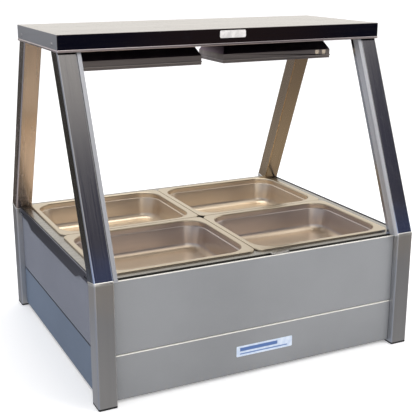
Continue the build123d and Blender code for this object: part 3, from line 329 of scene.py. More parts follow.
def cast_metal(name, base, roughness, stain, amount=0.3, metallic=1.0, grain=500.0):
    """Plated, cast or zinc metal: mottled tone, tarnish in patches and a fine rough skin."""
    s = Shader(name, base, metallic, roughness)
    spangle = s.noise(s.place, 55.0, 5.0, 0.65, 0.4)
    patches = s.noise(s.place, 16.0, 4.0, 0.6)
    colour = s.mix(s.span(spangle, 0.35, 0.65), tone(base, 0.84), tone(base, 1.1))
    s.set("Base Color", s.mix(s.math("MULTIPLY", s.span(patches, 0.5, 0.75), amount), colour, stain))
    s.set("Roughness", s.math("MULTIPLY_ADD", spangle, 0.24, roughness - 0.1))
    s.bump(s.noise(s.place, grain, 3.0, 0.6), 0.3, 0.0004)
    return s


# ---------------------------------------------------------------- sizes read from the frame
low_leg, high_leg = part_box("leg_front_left")
low_arm, high_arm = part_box("arm_front_left")
low_cap, high_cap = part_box("canopy")
TUBE = high_leg.x - low_leg.x
TUBE_CORNER = 3.0 * MM
OUTER_X = -low_leg.x
OUTER_Y = -low_leg.y
INNER_Y = OUTER_Y - TUBE
DECK_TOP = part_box("deck")[1].z
FIRST_LEAN = 0.4
LEAN_STEPS = 12
lean = FIRST_LEAN
for _ in range(LEAN_STEPS):
    lean = atan2(high_arm.y + INNER_Y, high_arm.z - DECK_TOP + TUBE * tan(lean / 2))


def mitre_point(end):
    """A point (y, z) on the mitre plane of the front (-1) or rear (1) tubes."""
    return end * (INNER_Y + TUBE / 2), DECK_TOP - TUBE * tan(lean / 2) / 2


# ---------------------------------------------------------------- mesh helpers
def mesh_piece(name, build, body, material, smooth=True, width=0.0, replaces=()):
    """Make an object from a bmesh-filling function, dress it and let it ride on a body."""
    bm = bmesh.new()
    build(bm)
    bmesh.ops.recalc_face_normals(bm, faces=bm.faces)
    mesh = bpy.data.meshes.new(name)
    bm.to_mesh(mesh)
    bm.free()
    piece = bpy.data.objects.new(name, mesh)
    scene.collection.objects.link(piece)
    mesh.materials.append(material)
    mesh.polygons.foreach_set("use_smooth", [smooth] * len(mesh.polygons))
    if width:
        soften(piece, width)
    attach(piece, body)
    for node in replaces:
        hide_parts(node)
    return piece


WELD_REACH = 0.01 * MM
FLAT_ANGLE = radians(0.3)
SHARP_ANGLE = radians(35.0)
BEVEL_STEPS = 2


def soften(piece, width, weld=False):
    """Round every sharp edge by a small radius, with clean shading on the flats."""
    if weld:
        join = piece.modifiers.new("weld", "WELD")
        join.merge_threshold = WELD_REACH
        flatten = piece.modifiers.new("flats", "DECIMATE")
        flatten.decimate_type = "DISSOLVE"
        flatten.angle_limit = FLAT_ANGLE
    bevel = piece.modifiers.new("edge", "BEVEL")
    bevel.width = width
    bevel.segments = BEVEL_STEPS
    bevel.limit_method = "ANGLE"
    bevel.angle_limit = SHARP_ANGLE
    bevel.use_clamp_overlap = False
    shade = piece.modifiers.new("shade", "WEIGHTED_NORMAL")
    shade.keep_sharp = False


def rounded_loop(half_x, half_y, radius, z, per_corner=10):
    """Points of a level rectangle with rounded corners, counter-clockwise."""
    points = []
    for quarter in range(4):
        sign_x = 1 if quarter in (0, 3) else -1
        sign_y = 1 if quarter in (0, 1) else -1
        for step in range(per_corner + 1):
            angle = pi / 2 * (quarter + step / per_corner)
            x = sign_x * (half_x - radius) + radius * cos(angle)
            y = sign_y * (half_y - radius) + radius * sin(angle)
            points.append((x, y, z))
    return points


def skin(bm, loops, close_first=False, close_last=False):
    """Join loops of equal length into a surface of quads, capped where asked."""
    rings = [[bm.verts.new(p) for p in loop] for loop in loops]
    count = len(rings[0])
    for lower, upper in zip(rings, rings[1:]):
        for i in range(count):
            j = (i + 1) % count
            bm.faces.new((lower[i], lower[j], upper[j], upper[i]))
    if close_first:
        bm.faces.new(rings[0])
    if close_last:
        bm.faces.new(rings[-1])
    return rings


def lathe(bm, profile, centre, axis, segments=32):
    """Revolve (radius, height) points about an axis through a centre; both ends are closed."""
    turn = Vector((0, 0, 1)).rotation_difference(Vector(axis)).to_matrix()
    loops = []
    for radius, height in profile:
        loop = []
        for i in range(segments):
            angle = 2 * pi * i / segments
            local = Vector((radius * cos(angle), radius * sin(angle), height))
            loop.append(Vector(centre) + turn @ local)
        loops.append(loop)
    skin(bm, loops, close_first=True, close_last=True)


def block(bm, centre, size, turn=None):
    """A box inside a larger piece, turned about its centre where asked."""
    made = bmesh.ops.create_cube(bm, size=1.0)["verts"]
    place = Matrix.Translation(centre) @ (turn or Matrix.Identity(4))
    bmesh.ops.transform(bm, matrix=place @ Matrix.Diagonal((*size, 1.0)), verts=made)


# ---------------------------------------------------------------- finishes
LEG_BASE = (0.64, 0.65, 0.67)
LEG_TINT = (0.74, 0.70, 0.65)
SKIRT_HEIGHT = 19.0 * MM
BEAD_LOW, BEAD_HIGH = 5.5 * MM, 7.5 * MM
low_lamp, high_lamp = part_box("lamp_housing_right")
steel_leg_front = tube_steel("steel_leg_front", LEG_BASE, 0.36, -1, 0.0, LEG_TINT, 80.0 * MM,
                             fine=0.003, stained=0.05, streak=0.02)
steel_leg_rear = tube_steel("steel_leg_rear", LEG_BASE, 0.36, 1, 0.0, LEG_TINT, 80.0 * MM,
                            fine=0.003, stained=0.05, streak=0.02)
# Painted reflection: the front arms' blue tint near the mitre stands in for the dark navy surroundings they
# reflect.
steel_arm_front = tube_steel("steel_arm_front", (0.50, 0.495, 0.50), 0.16, -1, lean, (0.52, 0.62, 0.86),
                             80.0 * MM, fine=0.001, stained=0.03, streak=0.03)
# Painted reflection: the two rear arms are one steel, painted pink on the left and gold on the right for what
# each reflects; both also get painted shade towards the top.
reflection_arm_rear_left = tube_steel("steel_arm_rear_left_painted_reflection", (0.95, 0.81, 0.73), 0.22, 1, -lean, (0.60, 0.49, 0.42),
                            40.0 * MM, fine=0.003, stained=0.04, streak=0.03)
reflection_arm_rear_left = smoked(reflection_arm_rear_left, (0.50, 0.45, 0.42))
reflection_arm_rear_right = tube_steel("steel_arm_rear_right_painted_reflection", (0.64, 0.48, 0.31), 0.22, 1, -lean, (0.52, 0.38, 0.24),
                            40.0 * MM, fine=0.003, stained=0.04, streak=0.06)
reflection_arm_rear_right = smoked(reflection_arm_rear_right, (0.33, 0.245, 0.17))
steel_duct = brushed_steel("steel_duct", (0.62, 0.63, 0.66), 0.40, "Z", lean, streak=0.12)
steel_duct.set("Metallic", 0.6)
# The last colour is the painted light on the canopy's end faces.
steel_canopy = canopy_steel("steel_canopy", (0.345, 0.32, 0.305), (0.50, 0.50, 0.51))
# Painted highlight: the rolled hem is the canopy's steel, given a lighter pink tone.
steel_hem_painted_highlight = brushed_steel("steel_hem_painted_highlight", (0.66, 0.58, 0.58), 0.30, "X", fine=0.01, stained=0.05)
steel_cover = brushed_steel("steel_cover", (0.50, 0.48, 0.45), 0.28, "X", stained=0.25)
steel_deck = brushed_steel("steel_deck", (0.37, 0.355, 0.325), 0.26, fine=0.008, stained=0.10, streak=0.06)
# Painted shade: the side strips are steel given a near-black blue base colour.
steel_strip_painted_shade = brushed_steel("steel_strip_painted_shade", (0.15, 0.155, 0.20), 0.34, "Y", fine=0.01, stained=0.05)
steel_lamp = lamp_steel("steel_lamp", *(low_lamp.z + up for up in (SKIRT_HEIGHT, BEAD_LOW, BEAD_HIGH)))
steel_tank = brushed_steel("steel_tank", (0.52, 0.51, 0.50), 0.34, "X", stained=0.3)
pan_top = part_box("pan_front_left")[1].z
PAN_RIM_TONE = (0.60, 0.515, 0.39)
# Painted shade: the front pans are the same steel as the rear pans, given darker, mauve tones.
pan_finishes = {
    "front": drawn_steel("steel_pan_front_painted_shade", (0.63, 0.56, 0.52), (0.54, 0.46, 0.42), PAN_RIM_TONE,
                         (0.86, 0.70, 0.52), pan_top),
    "rear": drawn_steel("steel_pan_rear", (0.74, 0.64, 0.53), (0.62, 0.52, 0.42), PAN_RIM_TONE,
                        (0.88, 0.74, 0.56), pan_top),
}
zinc = cast_metal("zinc", (0.52, 0.53, 0.54), 0.42, (0.36, 0.36, 0.35))
screw_steel = cast_metal("screw_steel", (0.62, 0.61, 0.60), 0.28, (0.20, 0.17, 0.15), 0.3)
brass = cast_metal("brass", (0.72, 0.55, 0.28), 0.30, (0.34, 0.22, 0.10), 0.45)
heated = cast_metal("heated_sheath", (0.16, 0.14, 0.13), 0.5, (0.30, 0.16, 0.09), 0.6)
badge_metal = cast_metal("badge_metal", (0.86, 0.83, 0.81), 0.45, (0.6, 0.57, 0.54), 0.15, metallic=0.25)
reflector = brushed_steel("reflector", (0.78, 0.74, 0.68), 0.08, "X", fine=0.006, stained=0.2)
black_plastic = plastic("black_plastic", (0.018, 0.018, 0.020))
foot_black = plastic("foot_black", (0.012, 0.012, 0.013), 0.5)
lever_red = plastic("lever_red", (0.42, 0.03, 0.025), 0.34, 700.0, 0.15, (0.30, 0.10, 0.08))
ceramic = plastic("ceramic", (0.62, 0.38, 0.22), 0.30, 900.0, 0.12, (0.30, 0.18, 0.12))
pale_ceramic = plastic("pale_ceramic", (0.80, 0.68, 0.54), 0.30, 900.0, 0.12, (0.50, 0.40, 0.30))
ink_white = plastic("ink_white", (0.80, 0.80, 0.78), 0.4, 900.0, 0.1)
ink_black = plastic("ink_black", (0.02, 0.02, 0.022), 0.4, 900.0, 0.1)
dial_white = plastic("dial_white", (0.66, 0.66, 0.64), 0.34, 1500.0, 0.06, (0.50, 0.47, 0.42))


def lagging():
    """Mineral fibre board: matted fibres, yellowish, with darker binder patches."""
    s = Shader("lagging", (0.62, 0.56, 0.40), 0.0, 0.95)
    fibre = s.noise(s.scaled((260, 90, 900), (0.3, 0.2, 0.5)), 1.0, 6.0, 0.7, 0.9)
    patch = s.noise(s.place, 18.0, 4.0, 0.6)
    colour = s.mix(s.span(fibre, 0.35, 0.65), (0.42, 0.36, 0.24), (0.70, 0.64, 0.48))
    s.set("Base Color", s.mix(s.math("MULTIPLY", s.span(patch, 0.5, 0.8), 0.4), colour, (0.35, 0.27, 0.16)))
    s.bump(fibre, 0.8, 0.002)
    return s


def clear(name, colour, roughness, cloud=0.0):
    """Glass or a coloured lens with faint dust and uneven polish."""
    s = Shader(name, colour, 0.0, roughness)
    s.set("Transmission Weight", 1.0)
    s.set("IOR", 1.46)
    dust = s.noise(s.place, 120.0, 4.0, 0.6)
    s.set("Base Color", s.mix(s.math("MULTIPLY", s.span(dust, 0.5, 0.8), cloud), colour, (0.9, 0.88, 0.84)))
    s.set("Roughness", s.math("MULTIPLY_ADD", dust, 0.08, roughness))
    return s


def striped_label(lo, hi):
    """Pale blue plate with two plain bars and a soft printed edge; it carries no lettering."""
    s = Shader("striped_label", (0.62, 0.70, 0.84), 0.0, 0.32)
    x, _, z = s.axes()
    share_x = s.math("DIVIDE", s.math("SUBTRACT", x, lo.x), hi.x - lo.x)
    share_z = s.math("DIVIDE", s.math("SUBTRACT", z, lo.z), hi.z - lo.z)
    cloud = s.noise(s.place, 120.0, 3.0, 0.5)
    colour = s.mix(s.span(cloud, 0.35, 0.7), (0.56, 0.65, 0.80), (0.70, 0.77, 0.88))

    def within(share, first, last, soft):
        after = s.span(share, first, first + soft)
        return s.math("MULTIPLY", after, s.span(share, last - soft, last, 1.0, 0.0))

    def bar(x0, x1, z0, z1):
        return s.math("MULTIPLY", within(share_x, x0, x1, 0.02), within(share_z, z0, z1, 0.06))

    colour = s.mix(bar(0.05, 0.74, 0.46, 0.86), colour, (0.09, 0.17, 0.40))
    colour = s.mix(bar(0.05, 0.92, 0.16, 0.34), colour, (0.13, 0.23, 0.48))
    s.set("Base Color", colour)
    s.set("Roughness", s.math("MULTIPLY_ADD", cloud, 0.15, 0.26))
    s.bump(s.noise(s.place, 1300.0, 2.0, 0.5), 0.08, 0.0003)
    return s


FINISHES = {
    "foot_caps": foot_black,
    "duct_left": steel_duct,
    "duct_right": steel_duct,
    "rear_panel_screws": screw_steel,
    "base_plate": zinc,
    "deck": steel_deck,
    "side_strip_left": steel_strip_painted_shade,
    "side_strip_right": steel_strip_painted_shade,
    "front_clip": screw_steel,
    "label_plate": striped_label(*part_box("label_plate")),
    "water_tank": steel_tank,
    "pan_divider": steel_deck,
    "heating_element": heated,
    "element_clamps": zinc,
    "insulation_slab": lagging(),
    "thermostat": brass,
    "dial_plate": dial_white,
    "thermostat_knob": black_plastic,
    "switch_housings": black_plastic,
    "power_rocker": black_plastic,
    "lamp_rocker": black_plastic,
    "indicator_lens": clear("amber_lens", (0.95, 0.42, 0.06), 0.12, 0.2),
    "cable_gland": black_plastic,
    "terminal_block": ink_white,
    "drain_pipe": steel_tank,
    "drain_valve": brass,
    "drain_lever": lever_red,
    "canopy": steel_canopy,
    "canopy_cover": steel_cover,
    "badge": badge_metal,
    "lamp_housing_left": steel_lamp,
    "lamp_housing_right": steel_lamp,
    "lamp_reflectors": reflector,
    "lamp_holders": ceramic,
    "lamp_terminals": pale_ceramic,
}
PANEL_GREY = (0.258, 0.263, 0.272)
# Painted shade: the side panels are the same coating as the front, painted darker and bluer, most on the
# lower panel.
SIDE_UPPER_SHADE = (0.215, 0.227, 0.272)
SIDE_LOWER_SHADE = (0.158, 0.199, 0.268)
# Painted highlight and painted shade for the panels' top fold.
FOLD_HIGHLIGHT = (0.86, 0.83, 0.76)
FOLD_SHADE = (0.05, 0.055, 0.07)
for node in frame["nodes"]:
    if node.startswith("leg_"):
        FINISHES[node] = steel_leg_front if "front" in node else steel_leg_rear
    elif node.startswith("arm_"):
        rear = reflection_arm_rear_left if "left" in node else reflection_arm_rear_right
        FINISHES[node] = steel_arm_front if "front" in node else rear
    elif "_panel_" in node and not node.endswith("screws"):
        grey, edge = PANEL_GREY, FOLD_HIGHLIGHT
        # Side panels take the painted shade tones.
        if node.startswith("side"):
            grey, edge = SIDE_LOWER_SHADE if "lower" in node else SIDE_UPPER_SHADE, FOLD_SHADE
        FINISHES[node] = coated_panel("coat_" + node, grey, edge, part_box(node)[1].z)

EDGE_WIDTH = 0.3
EDGE_WIDTHS = {
    "canopy": 1.1,
    "deck": 0.4,
    "thermostat_knob": 0.5,
    "foot_caps": 0.8,
    "switch_housings": 0.4,
    "power_rocker": 0.5,
    "lamp_rocker": 0.5,
    "drain_lever": 0.7,
    "drain_valve": 0.5,
    "cable_gland": 0.5,
    "label_plate": 0.15,
    "badge": 0.25,
    "dial_plate": 0.15,
}
for node, finish in FINISHES.items():
    piece = frame["nodes"][node]
    for index in range(len(piece.material_slots)):
        piece.material_slots[index].material = finish.material
    soften(piece, EDGE_WIDTHS.get(node, EDGE_WIDTH) * MM, weld=True)


# ---------------------------------------------------------------- pans
RIM_RADIUS = 1.6 * MM
THROAT_RADIUS = 3.0 * MM
RIM_WIDTH = 12.0 * MM
RIM_DROP = 3.6 * MM
RIM_CORNER = 17.0 * MM
STEP_DEPTH = 13.0 * MM
STEP_IN = 2.5 * MM
STEP_RADIUS = 0.9 * MM
THROAT_CORNER = 44.5 * MM
DRAFT = radians(5.0)
FLOOR_RADIUS = 16.0 * MM
FLOOR_DEPTH = 64.2 * MM
PAN_SHEET = 0.8 * MM
CROWN = 0.6 * MM


def pan_profile():
    """(inset, depth, corner radius) of the food side of a pan, from the rim's edge to the floor's middle."""
    points = [(0.0, RIM_DROP, RIM_CORNER), (0.0, RIM_DROP * 0.7, RIM_CORNER)]
    for step in range(6):
        angle = pi / 2 * step / 5
        inset = RIM_RADIUS * (1 - cos(angle))
        points.append((inset, RIM_RADIUS * (1 - sin(angle)), RIM_CORNER - inset))
    flat_end = RIM_WIDTH - THROAT_RADIUS
    throat = THROAT_CORNER + THROAT_RADIUS
    for share in (0.35, 0.7, 0.9):
        inset = RIM_RADIUS + share * (flat_end - RIM_RADIUS)
        points.append((inset, 0.0, RIM_CORNER + share * (throat - RIM_CORNER)))
    for step in range(7):
        angle = pi / 2 * step / 6
        inset = flat_end + THROAT_RADIUS * sin(angle)
        points.append((inset, THROAT_RADIUS * (1 - cos(angle)), throat - THROAT_RADIUS * sin(angle)))
    points.append((RIM_WIDTH, STEP_DEPTH - STEP_RADIUS, THROAT_CORNER))
    for step in range(1, 4):
        angle = pi / 2 * step / 3
        inset = RIM_WIDTH + STEP_RADIUS * (1 - cos(angle))
        points.append((inset, STEP_DEPTH - STEP_RADIUS * (1 - sin(angle)), THROAT_CORNER - STEP_RADIUS))
    wall = RIM_WIDTH + STEP_IN
    for step in range(4):
        angle = pi / 2 * step / 3
        inset = wall - STEP_RADIUS * (1 - sin(angle))
        points.append((inset, STEP_DEPTH + STEP_RADIUS * (1 - cos(angle)), THROAT_CORNER - STEP_IN))
    drop = FLOOR_DEPTH - FLOOR_RADIUS * (1 - sin(DRAFT))
    centre = wall + tan(DRAFT) * (drop - STEP_DEPTH) + FLOOR_RADIUS * cos(DRAFT)
    corner = THROAT_CORNER - STEP_IN
    for step in range(9):
        angle = DRAFT + (pi / 2 - DRAFT) * step / 8
        inset = centre - FLOOR_RADIUS * cos(angle)
        depth = FLOOR_DEPTH - FLOOR_RADIUS * (1 - sin(angle))
        points.append((inset, depth, corner - (inset - wall)))
    for step in range(1, 6):
        inset = centre + 14.0 * MM * step
        depth = FLOOR_DEPTH - CROWN * (1 - (1 - step / 5) ** 2)
        points.append((inset, depth, max(4.0 * MM, corner - (inset - wall))))
    return points


def build_pan(bm, lo, hi):
    """The food side of a pressed pan: rolled rim, stacking step, drafted walls, faintly crowned floor."""
    middle = (lo + hi) / 2
    half_x, half_y = (hi.x - lo.x) / 2, (hi.y - lo.y) / 2
    loops = []
    for inset, depth, corner in pan_profile():
        loop = rounded_loop(half_x - inset, half_y - inset, corner, hi.z - depth)
        loops.append([(middle.x + x, middle.y + y, z) for x, y, z in loop])
    skin(bm, loops, close_last=True)


for corner in CORNERS:
    node = "pan_" + corner
    lo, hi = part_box(node)
    pan = mesh_piece("pressed_" + node, lambda bm: build_pan(bm, lo, hi), node,
                     pan_finishes[corner.split("_")[0]].material, replaces=[node])
    thicken = pan.modifiers.new("sheet", "SOLIDIFY")
    thicken.thickness = PAN_SHEET
    thicken.offset = -1.0


# ---------------------------------------------------------------- welds round the mitres
BEAD_HALF = 2.8 * MM
BEAD_RISE = 0.8 * MM
BEAD_UP = 2.6 * MM


def build_weld(bm, side, end):
    """A low dressed bead round the arm, just above its mitre with the leg."""
    y, z = mitre_point(end)
    origin = Vector((side * (OUTER_X - TUBE / 2), y, z))
    along = Vector((0, -end * sin(lean), cos(lean)))
    across = Vector((0, cos(lean) * -end, -sin(lean)))
    normal = Vector((0, -end * sin(lean / 2), cos(lean / 2)))
    outline = rounded_loop(TUBE / 2, TUBE / 2, TUBE_CORNER, 0.0, 6)
    count = len(outline)
    loops = []
    for i, (u, v, _) in enumerate(outline):
        after, before = outline[(i + 1) % count], outline[i - 1]
        out = Vector((after[1] - before[1], -(after[0] - before[0]))).normalized()
        outward = Vector((out[0], 0, 0)) + across * out[1]
        point = origin + Vector((u, 0, 0)) + across * v
        point += along * (BEAD_UP - (point - origin).dot(normal) / along.dot(normal))
        ripple = 1.0 - 0.18 * (0.5 + 0.5 * sin(9.0 * i))
        loop = []
        for step in range(9):
            angle = pi * step / 8
            rise = BEAD_RISE * ripple * sin(angle)
            loop.append(point + along * (BEAD_HALF * cos(angle)) + outward * rise)
        loop.append(point - along * BEAD_HALF - outward * BEAD_RISE)
        loop.append(point + along * BEAD_HALF - outward * BEAD_RISE)
        loops.append(loop)
    skin(bm, loops + loops[:1])
    bmesh.ops.remove_doubles(bm, verts=bm.verts, dist=0.001 * MM)


weld_steel = brushed_steel("weld_steel", (0.90, 0.88, 0.83), 0.36, "X", fine=0.04, stained=0.08)
for corner in CORNERS:
    side = -1 if "left" in corner else 1
    end = -1 if "front" in corner else 1
    mesh_piece("weld_" + corner, lambda bm: build_weld(bm, side, end), "frame",
               weld_steel.material)


# ---------------------------------------------------------------- rolled hem along the canopy's lower edge
HEM_HEIGHT = 4.6 * MM
HEM_PROUD = 0.9 * MM
HEM_SUNK = 0.2 * MM
HEM_CORNER = 1.5 * MM


def build_hem(bm):
    """A half-round roll right round the lower edge of the canopy."""
    half_x, half_y = (high_cap.x - low_cap.x) / 2, (high_cap.y - low_cap.y) / 2
    profile = [(-HEM_SUNK, HEM_HEIGHT)]
    profile += [(HEM_PROUD * sin(a), HEM_HEIGHT / 2 * (1 + cos(a))) for a in (pi * k / 8 for k in range(9))]
    profile.append((-HEM_SUNK, 0.0))
    loops = [
        rounded_loop(half_x + out, half_y + out, HEM_CORNER + out, low_cap.z + up, 4) for out, up in profile
    ]
    skin(bm, loops + loops[:1])
    bmesh.ops.remove_doubles(bm, verts=bm.verts, dist=0.001 * MM)


mesh_piece("canopy_hem", build_hem, "frame", steel_hem_painted_highlight.material)


# ---------------------------------------------------------------- screws with cross recesses
def build_heads(bm, spots, axis, radius, rise):
    """Low domed heads at the given places, rising along an axis."""
    for spot in spots:
        dome = [(radius, 0.0), (radius, 0.3 * rise)]
        dome += [(radius * cos(a), rise * (0.3 + 0.7 * sin(a))) for a in (pi / 10 * k for k in range(1, 5))]
        dome.append((radius * 0.12, rise))
        lathe(bm, dome, spot, axis, 24)


def screws(name, node, spots, axis, radius, rise):
    """Domed screw heads for a CAD group, cut with a cross recess."""
    heads = mesh_piece(name, lambda bm: build_heads(bm, spots, axis, radius, rise), "frame",
                       screw_steel.material)
    cutter = bmesh.new()
    turn = Vector((0, 0, 1)).rotation_difference(Vector(axis)).to_matrix().to_4x4()
    for spot in spots:
        top = Vector(spot) + Vector(axis) * rise
        for quarter in (0.25, 0.75):
            spin = Matrix.Rotation(pi * quarter + spot[1] * 40.0, 4, "Z")
            block(cutter, top, (radius * 1.15, radius * 0.26, rise * 1.2), turn @ spin)
    mesh = bpy.data.meshes.new(name + "_cutter")
    cutter.to_mesh(mesh)
    cutter.free()
    tool = bpy.data.objects.new(name + "_cutter", mesh)
    scene.collection.objects.link(tool)
    cut = heads.modifiers.new("recess", "BOOLEAN")
    cut.operation = "DIFFERENCE"
    cut.solver = "EXACT"
    cut.use_self = True
    cut.object = tool
    bpy.context.view_layer.update()
    made = bpy.data.meshes.new_from_object(heads.evaluated_get(bpy.context.evaluated_depsgraph_get()))
    heads.modifiers.clear()
    heads.data = made
    bpy.data.objects.remove(tool)
    made.polygons.foreach_set("use_smooth", [False] * len(made.polygons))
    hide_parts(node)
    return heads


def side_screws(name, node, head, rise):
    """Screws on both ends of the unit, in the X direction."""
    lo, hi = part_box(node)
    middle = (lo.z + hi.z) / 2
    for side, face in ((-1, lo.x), (1, hi.x)):
        spots = [(face - side * rise, y, middle) for y in (lo.y + head, hi.y - head)]
        label = name + ("_left" if side < 0 else "_right")
        screws(label, node, spots, (side, 0, 0), head, rise)


side_screws("canopy_heads", "canopy_screws", 3.8 * MM, 1.2 * MM)
side_screws("strip_heads", "side_strip_screws", 3.0 * MM, 1.4 * MM)
low_rear, high_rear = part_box("rear_panel_screws")
REAR_HEAD = 3.8 * MM
REAR_RISE = 2.0 * MM
seam_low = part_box("rear_panel_lower")[1].z
seam_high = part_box("rear_panel_upper")[0].z
rear_spots = [
    (x, high_rear.y - REAR_RISE, z)
    for x in (low_rear.x + REAR_HEAD, high_rear.x - REAR_HEAD)
    for z in (low_rear.z + REAR_HEAD, seam_low - 10 * MM, seam_high + 10 * MM, high_rear.z - REAR_HEAD)
]
screws("rear_heads", "rear_panel_screws", rear_spots, (0, 1, 0), REAR_HEAD, REAR_RISE)


# ---------------------------------------------------------------- lamps
low_quartz, high_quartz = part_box("quartz_lamps")
QUARTZ_RADIUS = (high_quartz.z - low_quartz.z) / 2
quartz_z = (high_quartz.z + low_quartz.z) / 2
lamp_middle = (low_lamp.x + high_lamp.x) / 2
quartz_half = high_quartz.x - lamp_middle
quartz_glass = clear("quartz_glass", (0.97, 0.96, 0.94), 0.02, 0.1)
filament_metal = cast_metal("filament", (0.50, 0.46, 0.42), 0.4, (0.2, 0.18, 0.2))


def build_quartz(bm, x):
    """A hollow tube with closed, narrowed ends."""
    wall = 0.8 * MM
    outer = [(QUARTZ_RADIUS * 0.55, -quartz_half), (QUARTZ_RADIUS, -quartz_half + 6 * MM)]
    outer += [(QUARTZ_RADIUS, quartz_half - 6 * MM), (QUARTZ_RADIUS * 0.55, quartz_half)]
    lathe(bm, outer, (x, 0, quartz_z), (1, 0, 0), 28)
    inner = [(r - wall, h * 0.97) for r, h in outer]
    made = bmesh.new()
    lathe(made, inner, (x, 0, quartz_z), (1, 0, 0), 28)
    bmesh.ops.reverse_faces(made, faces=made.faces)
    mesh = bpy.data.meshes.new("inner")
    made.to_mesh(mesh)
    made.free()
    bm.from_mesh(mesh)
    bpy.data.meshes.remove(mesh)


def build_filament(bm, x):
    """A fine coil held along the middle of the tube."""
    turns, radius, wire = 46, 1.6 * MM, 0.28 * MM
    steps = turns * 12
    reach = quartz_half - 14 * MM
    loops = []
    for i in range(steps + 1):
        angle = 2 * pi * turns * i / steps
        out = Vector((0, cos(angle), sin(angle)))
        centre = Vector((x - reach + 2 * reach * i / steps, 0, quartz_z)) + out * radius
        round_wire = [2 * pi * k / 5 for k in range(5)]
        loops.append([centre + wire * (out * cos(a) + Vector((1, 0, 0)) * sin(a)) for a in round_wire])
    skin(bm, loops, close_first=True, close_last=True)


for side, label in ((-1, "left"), (1, "right")):
    x = side * lamp_middle
    mesh_piece("quartz_" + label, lambda bm: build_quartz(bm, x), "frame", quartz_glass.material,
               replaces=["quartz_lamps"])
    mesh_piece("filament_" + label, lambda bm: build_filament(bm, x), "frame",
               filament_metal.material)


# ---------------------------------------------------------------- dial, knob and rocker marks
low_dial, high_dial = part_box("dial_plate")
low_knob, high_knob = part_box("thermostat_knob")
dial_centre = (low_dial + high_dial) / 2
dial_radius = (high_dial.x - low_dial.x) / 2
knob_radius = (high_knob.x - low_knob.x) / 2
PRINT_RISE = 0.12 * MM
SWEEP = radians(270)
FIGURES = 7
TICKS_PER_FIGURE = 4
TICK_GAP = 1.6 * MM
LONG_TICK = (0.6 * MM, 3.4 * MM)
SHORT_TICK = (0.35 * MM, 2.0 * MM)
FIGURE_SIZE = 4.6 * MM
FIGURE_INSET = 3.2 * MM


def dial_angle(share):
    """Angle clockwise from the upward direction, as the operator sees it; the dial reads anticlockwise."""
    return SWEEP / 2 - SWEEP * share


def on_dial(reach, angle, y):
    """A point at a distance from the dial's middle, in the direction of an angle."""
    return dial_centre.x - reach * sin(angle), y, dial_centre.z + reach * cos(angle)


def build_ticks(bm):
    """Printed ticks round the dial: a long one at each numeral and short ones between."""
    count = (FIGURES - 1) * TICKS_PER_FIGURE
    for i in range(count + 1):
        angle = dial_angle(i / count)
        width, length = SHORT_TICK if i % TICKS_PER_FIGURE else LONG_TICK
        middle = knob_radius + TICK_GAP + length / 2
        spot = on_dial(middle, angle, high_dial.y + PRINT_RISE / 2)
        block(bm, spot, (width, PRINT_RISE, length), Matrix.Rotation(-angle, 4, "Y"))


mesh_piece("dial_ticks", build_ticks, "frame", ink_black.material, smooth=False)


def numeral(text, name, centre, size, body, material):
    """A flat raised figure facing the operator."""
    curve = bpy.data.curves.new(name, "FONT")
    curve.body = text
    curve.size = size
    curve.align_x = "CENTER"
    curve.align_y = "CENTER"
    curve.extrude = PRINT_RISE / 2
    curve.resolution_u = 3
    made = bpy.data.objects.new(name + "_text", curve)
    scene.collection.objects.link(made)
    bpy.context.view_layer.update()
    mesh = bpy.data.meshes.new_from_object(made.evaluated_get(bpy.context.evaluated_depsgraph_get()))
    bpy.data.objects.remove(made)
    facing = Matrix.Translation(centre) @ Matrix.Rotation(pi, 4, "Z") @ Matrix.Rotation(pi / 2, 4, "X")
    mesh.transform(facing)
    mesh.name = name
    mesh.materials.clear()
    mesh.materials.append(material)
    piece = bpy.data.objects.new(name, mesh)
    scene.collection.objects.link(piece)
    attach(piece, body)
    return piece


for i in range(FIGURES):
    spot = on_dial(dial_radius - FIGURE_INSET, dial_angle(i / (FIGURES - 1)), high_dial.y + PRINT_RISE / 2)
    numeral(str(i), f"dial_figure_{i}", spot, FIGURE_SIZE, "frame", ink_black.material)

POINTER_LENGTH = 8.0 * MM
POINTER_INSET = 5.6 * MM
POINTER_SECTION = (1.5 * MM, 0.5 * MM)
POINTER_RISE = 0.05 * MM
pointer_start = dial_angle(0.0)


def build_pointer(bm):
    """A raised white line on the knob's face, at the first figure."""
    middle = knob_radius - POINTER_INSET - POINTER_LENGTH / 2
    spot = on_dial(middle, pointer_start, high_knob.y + POINTER_RISE)
    block(bm, spot, (*POINTER_SECTION, POINTER_LENGTH), Matrix.Rotation(-pointer_start, 4, "Y"))


mesh_piece("knob_pointer", build_pointer, "thermostat_knob", ink_white.material,
           width=0.15 * MM)


ROCKER_FACE = 5.4 * MM
ROCKER_TILT = radians(9.0)
MARK_REACH = 4.6 * MM
MARK_BAR = (0.7 * MM, 3.4 * MM)
RING_INNER, RING_OUTER = 1.1 * MM, 1.7 * MM


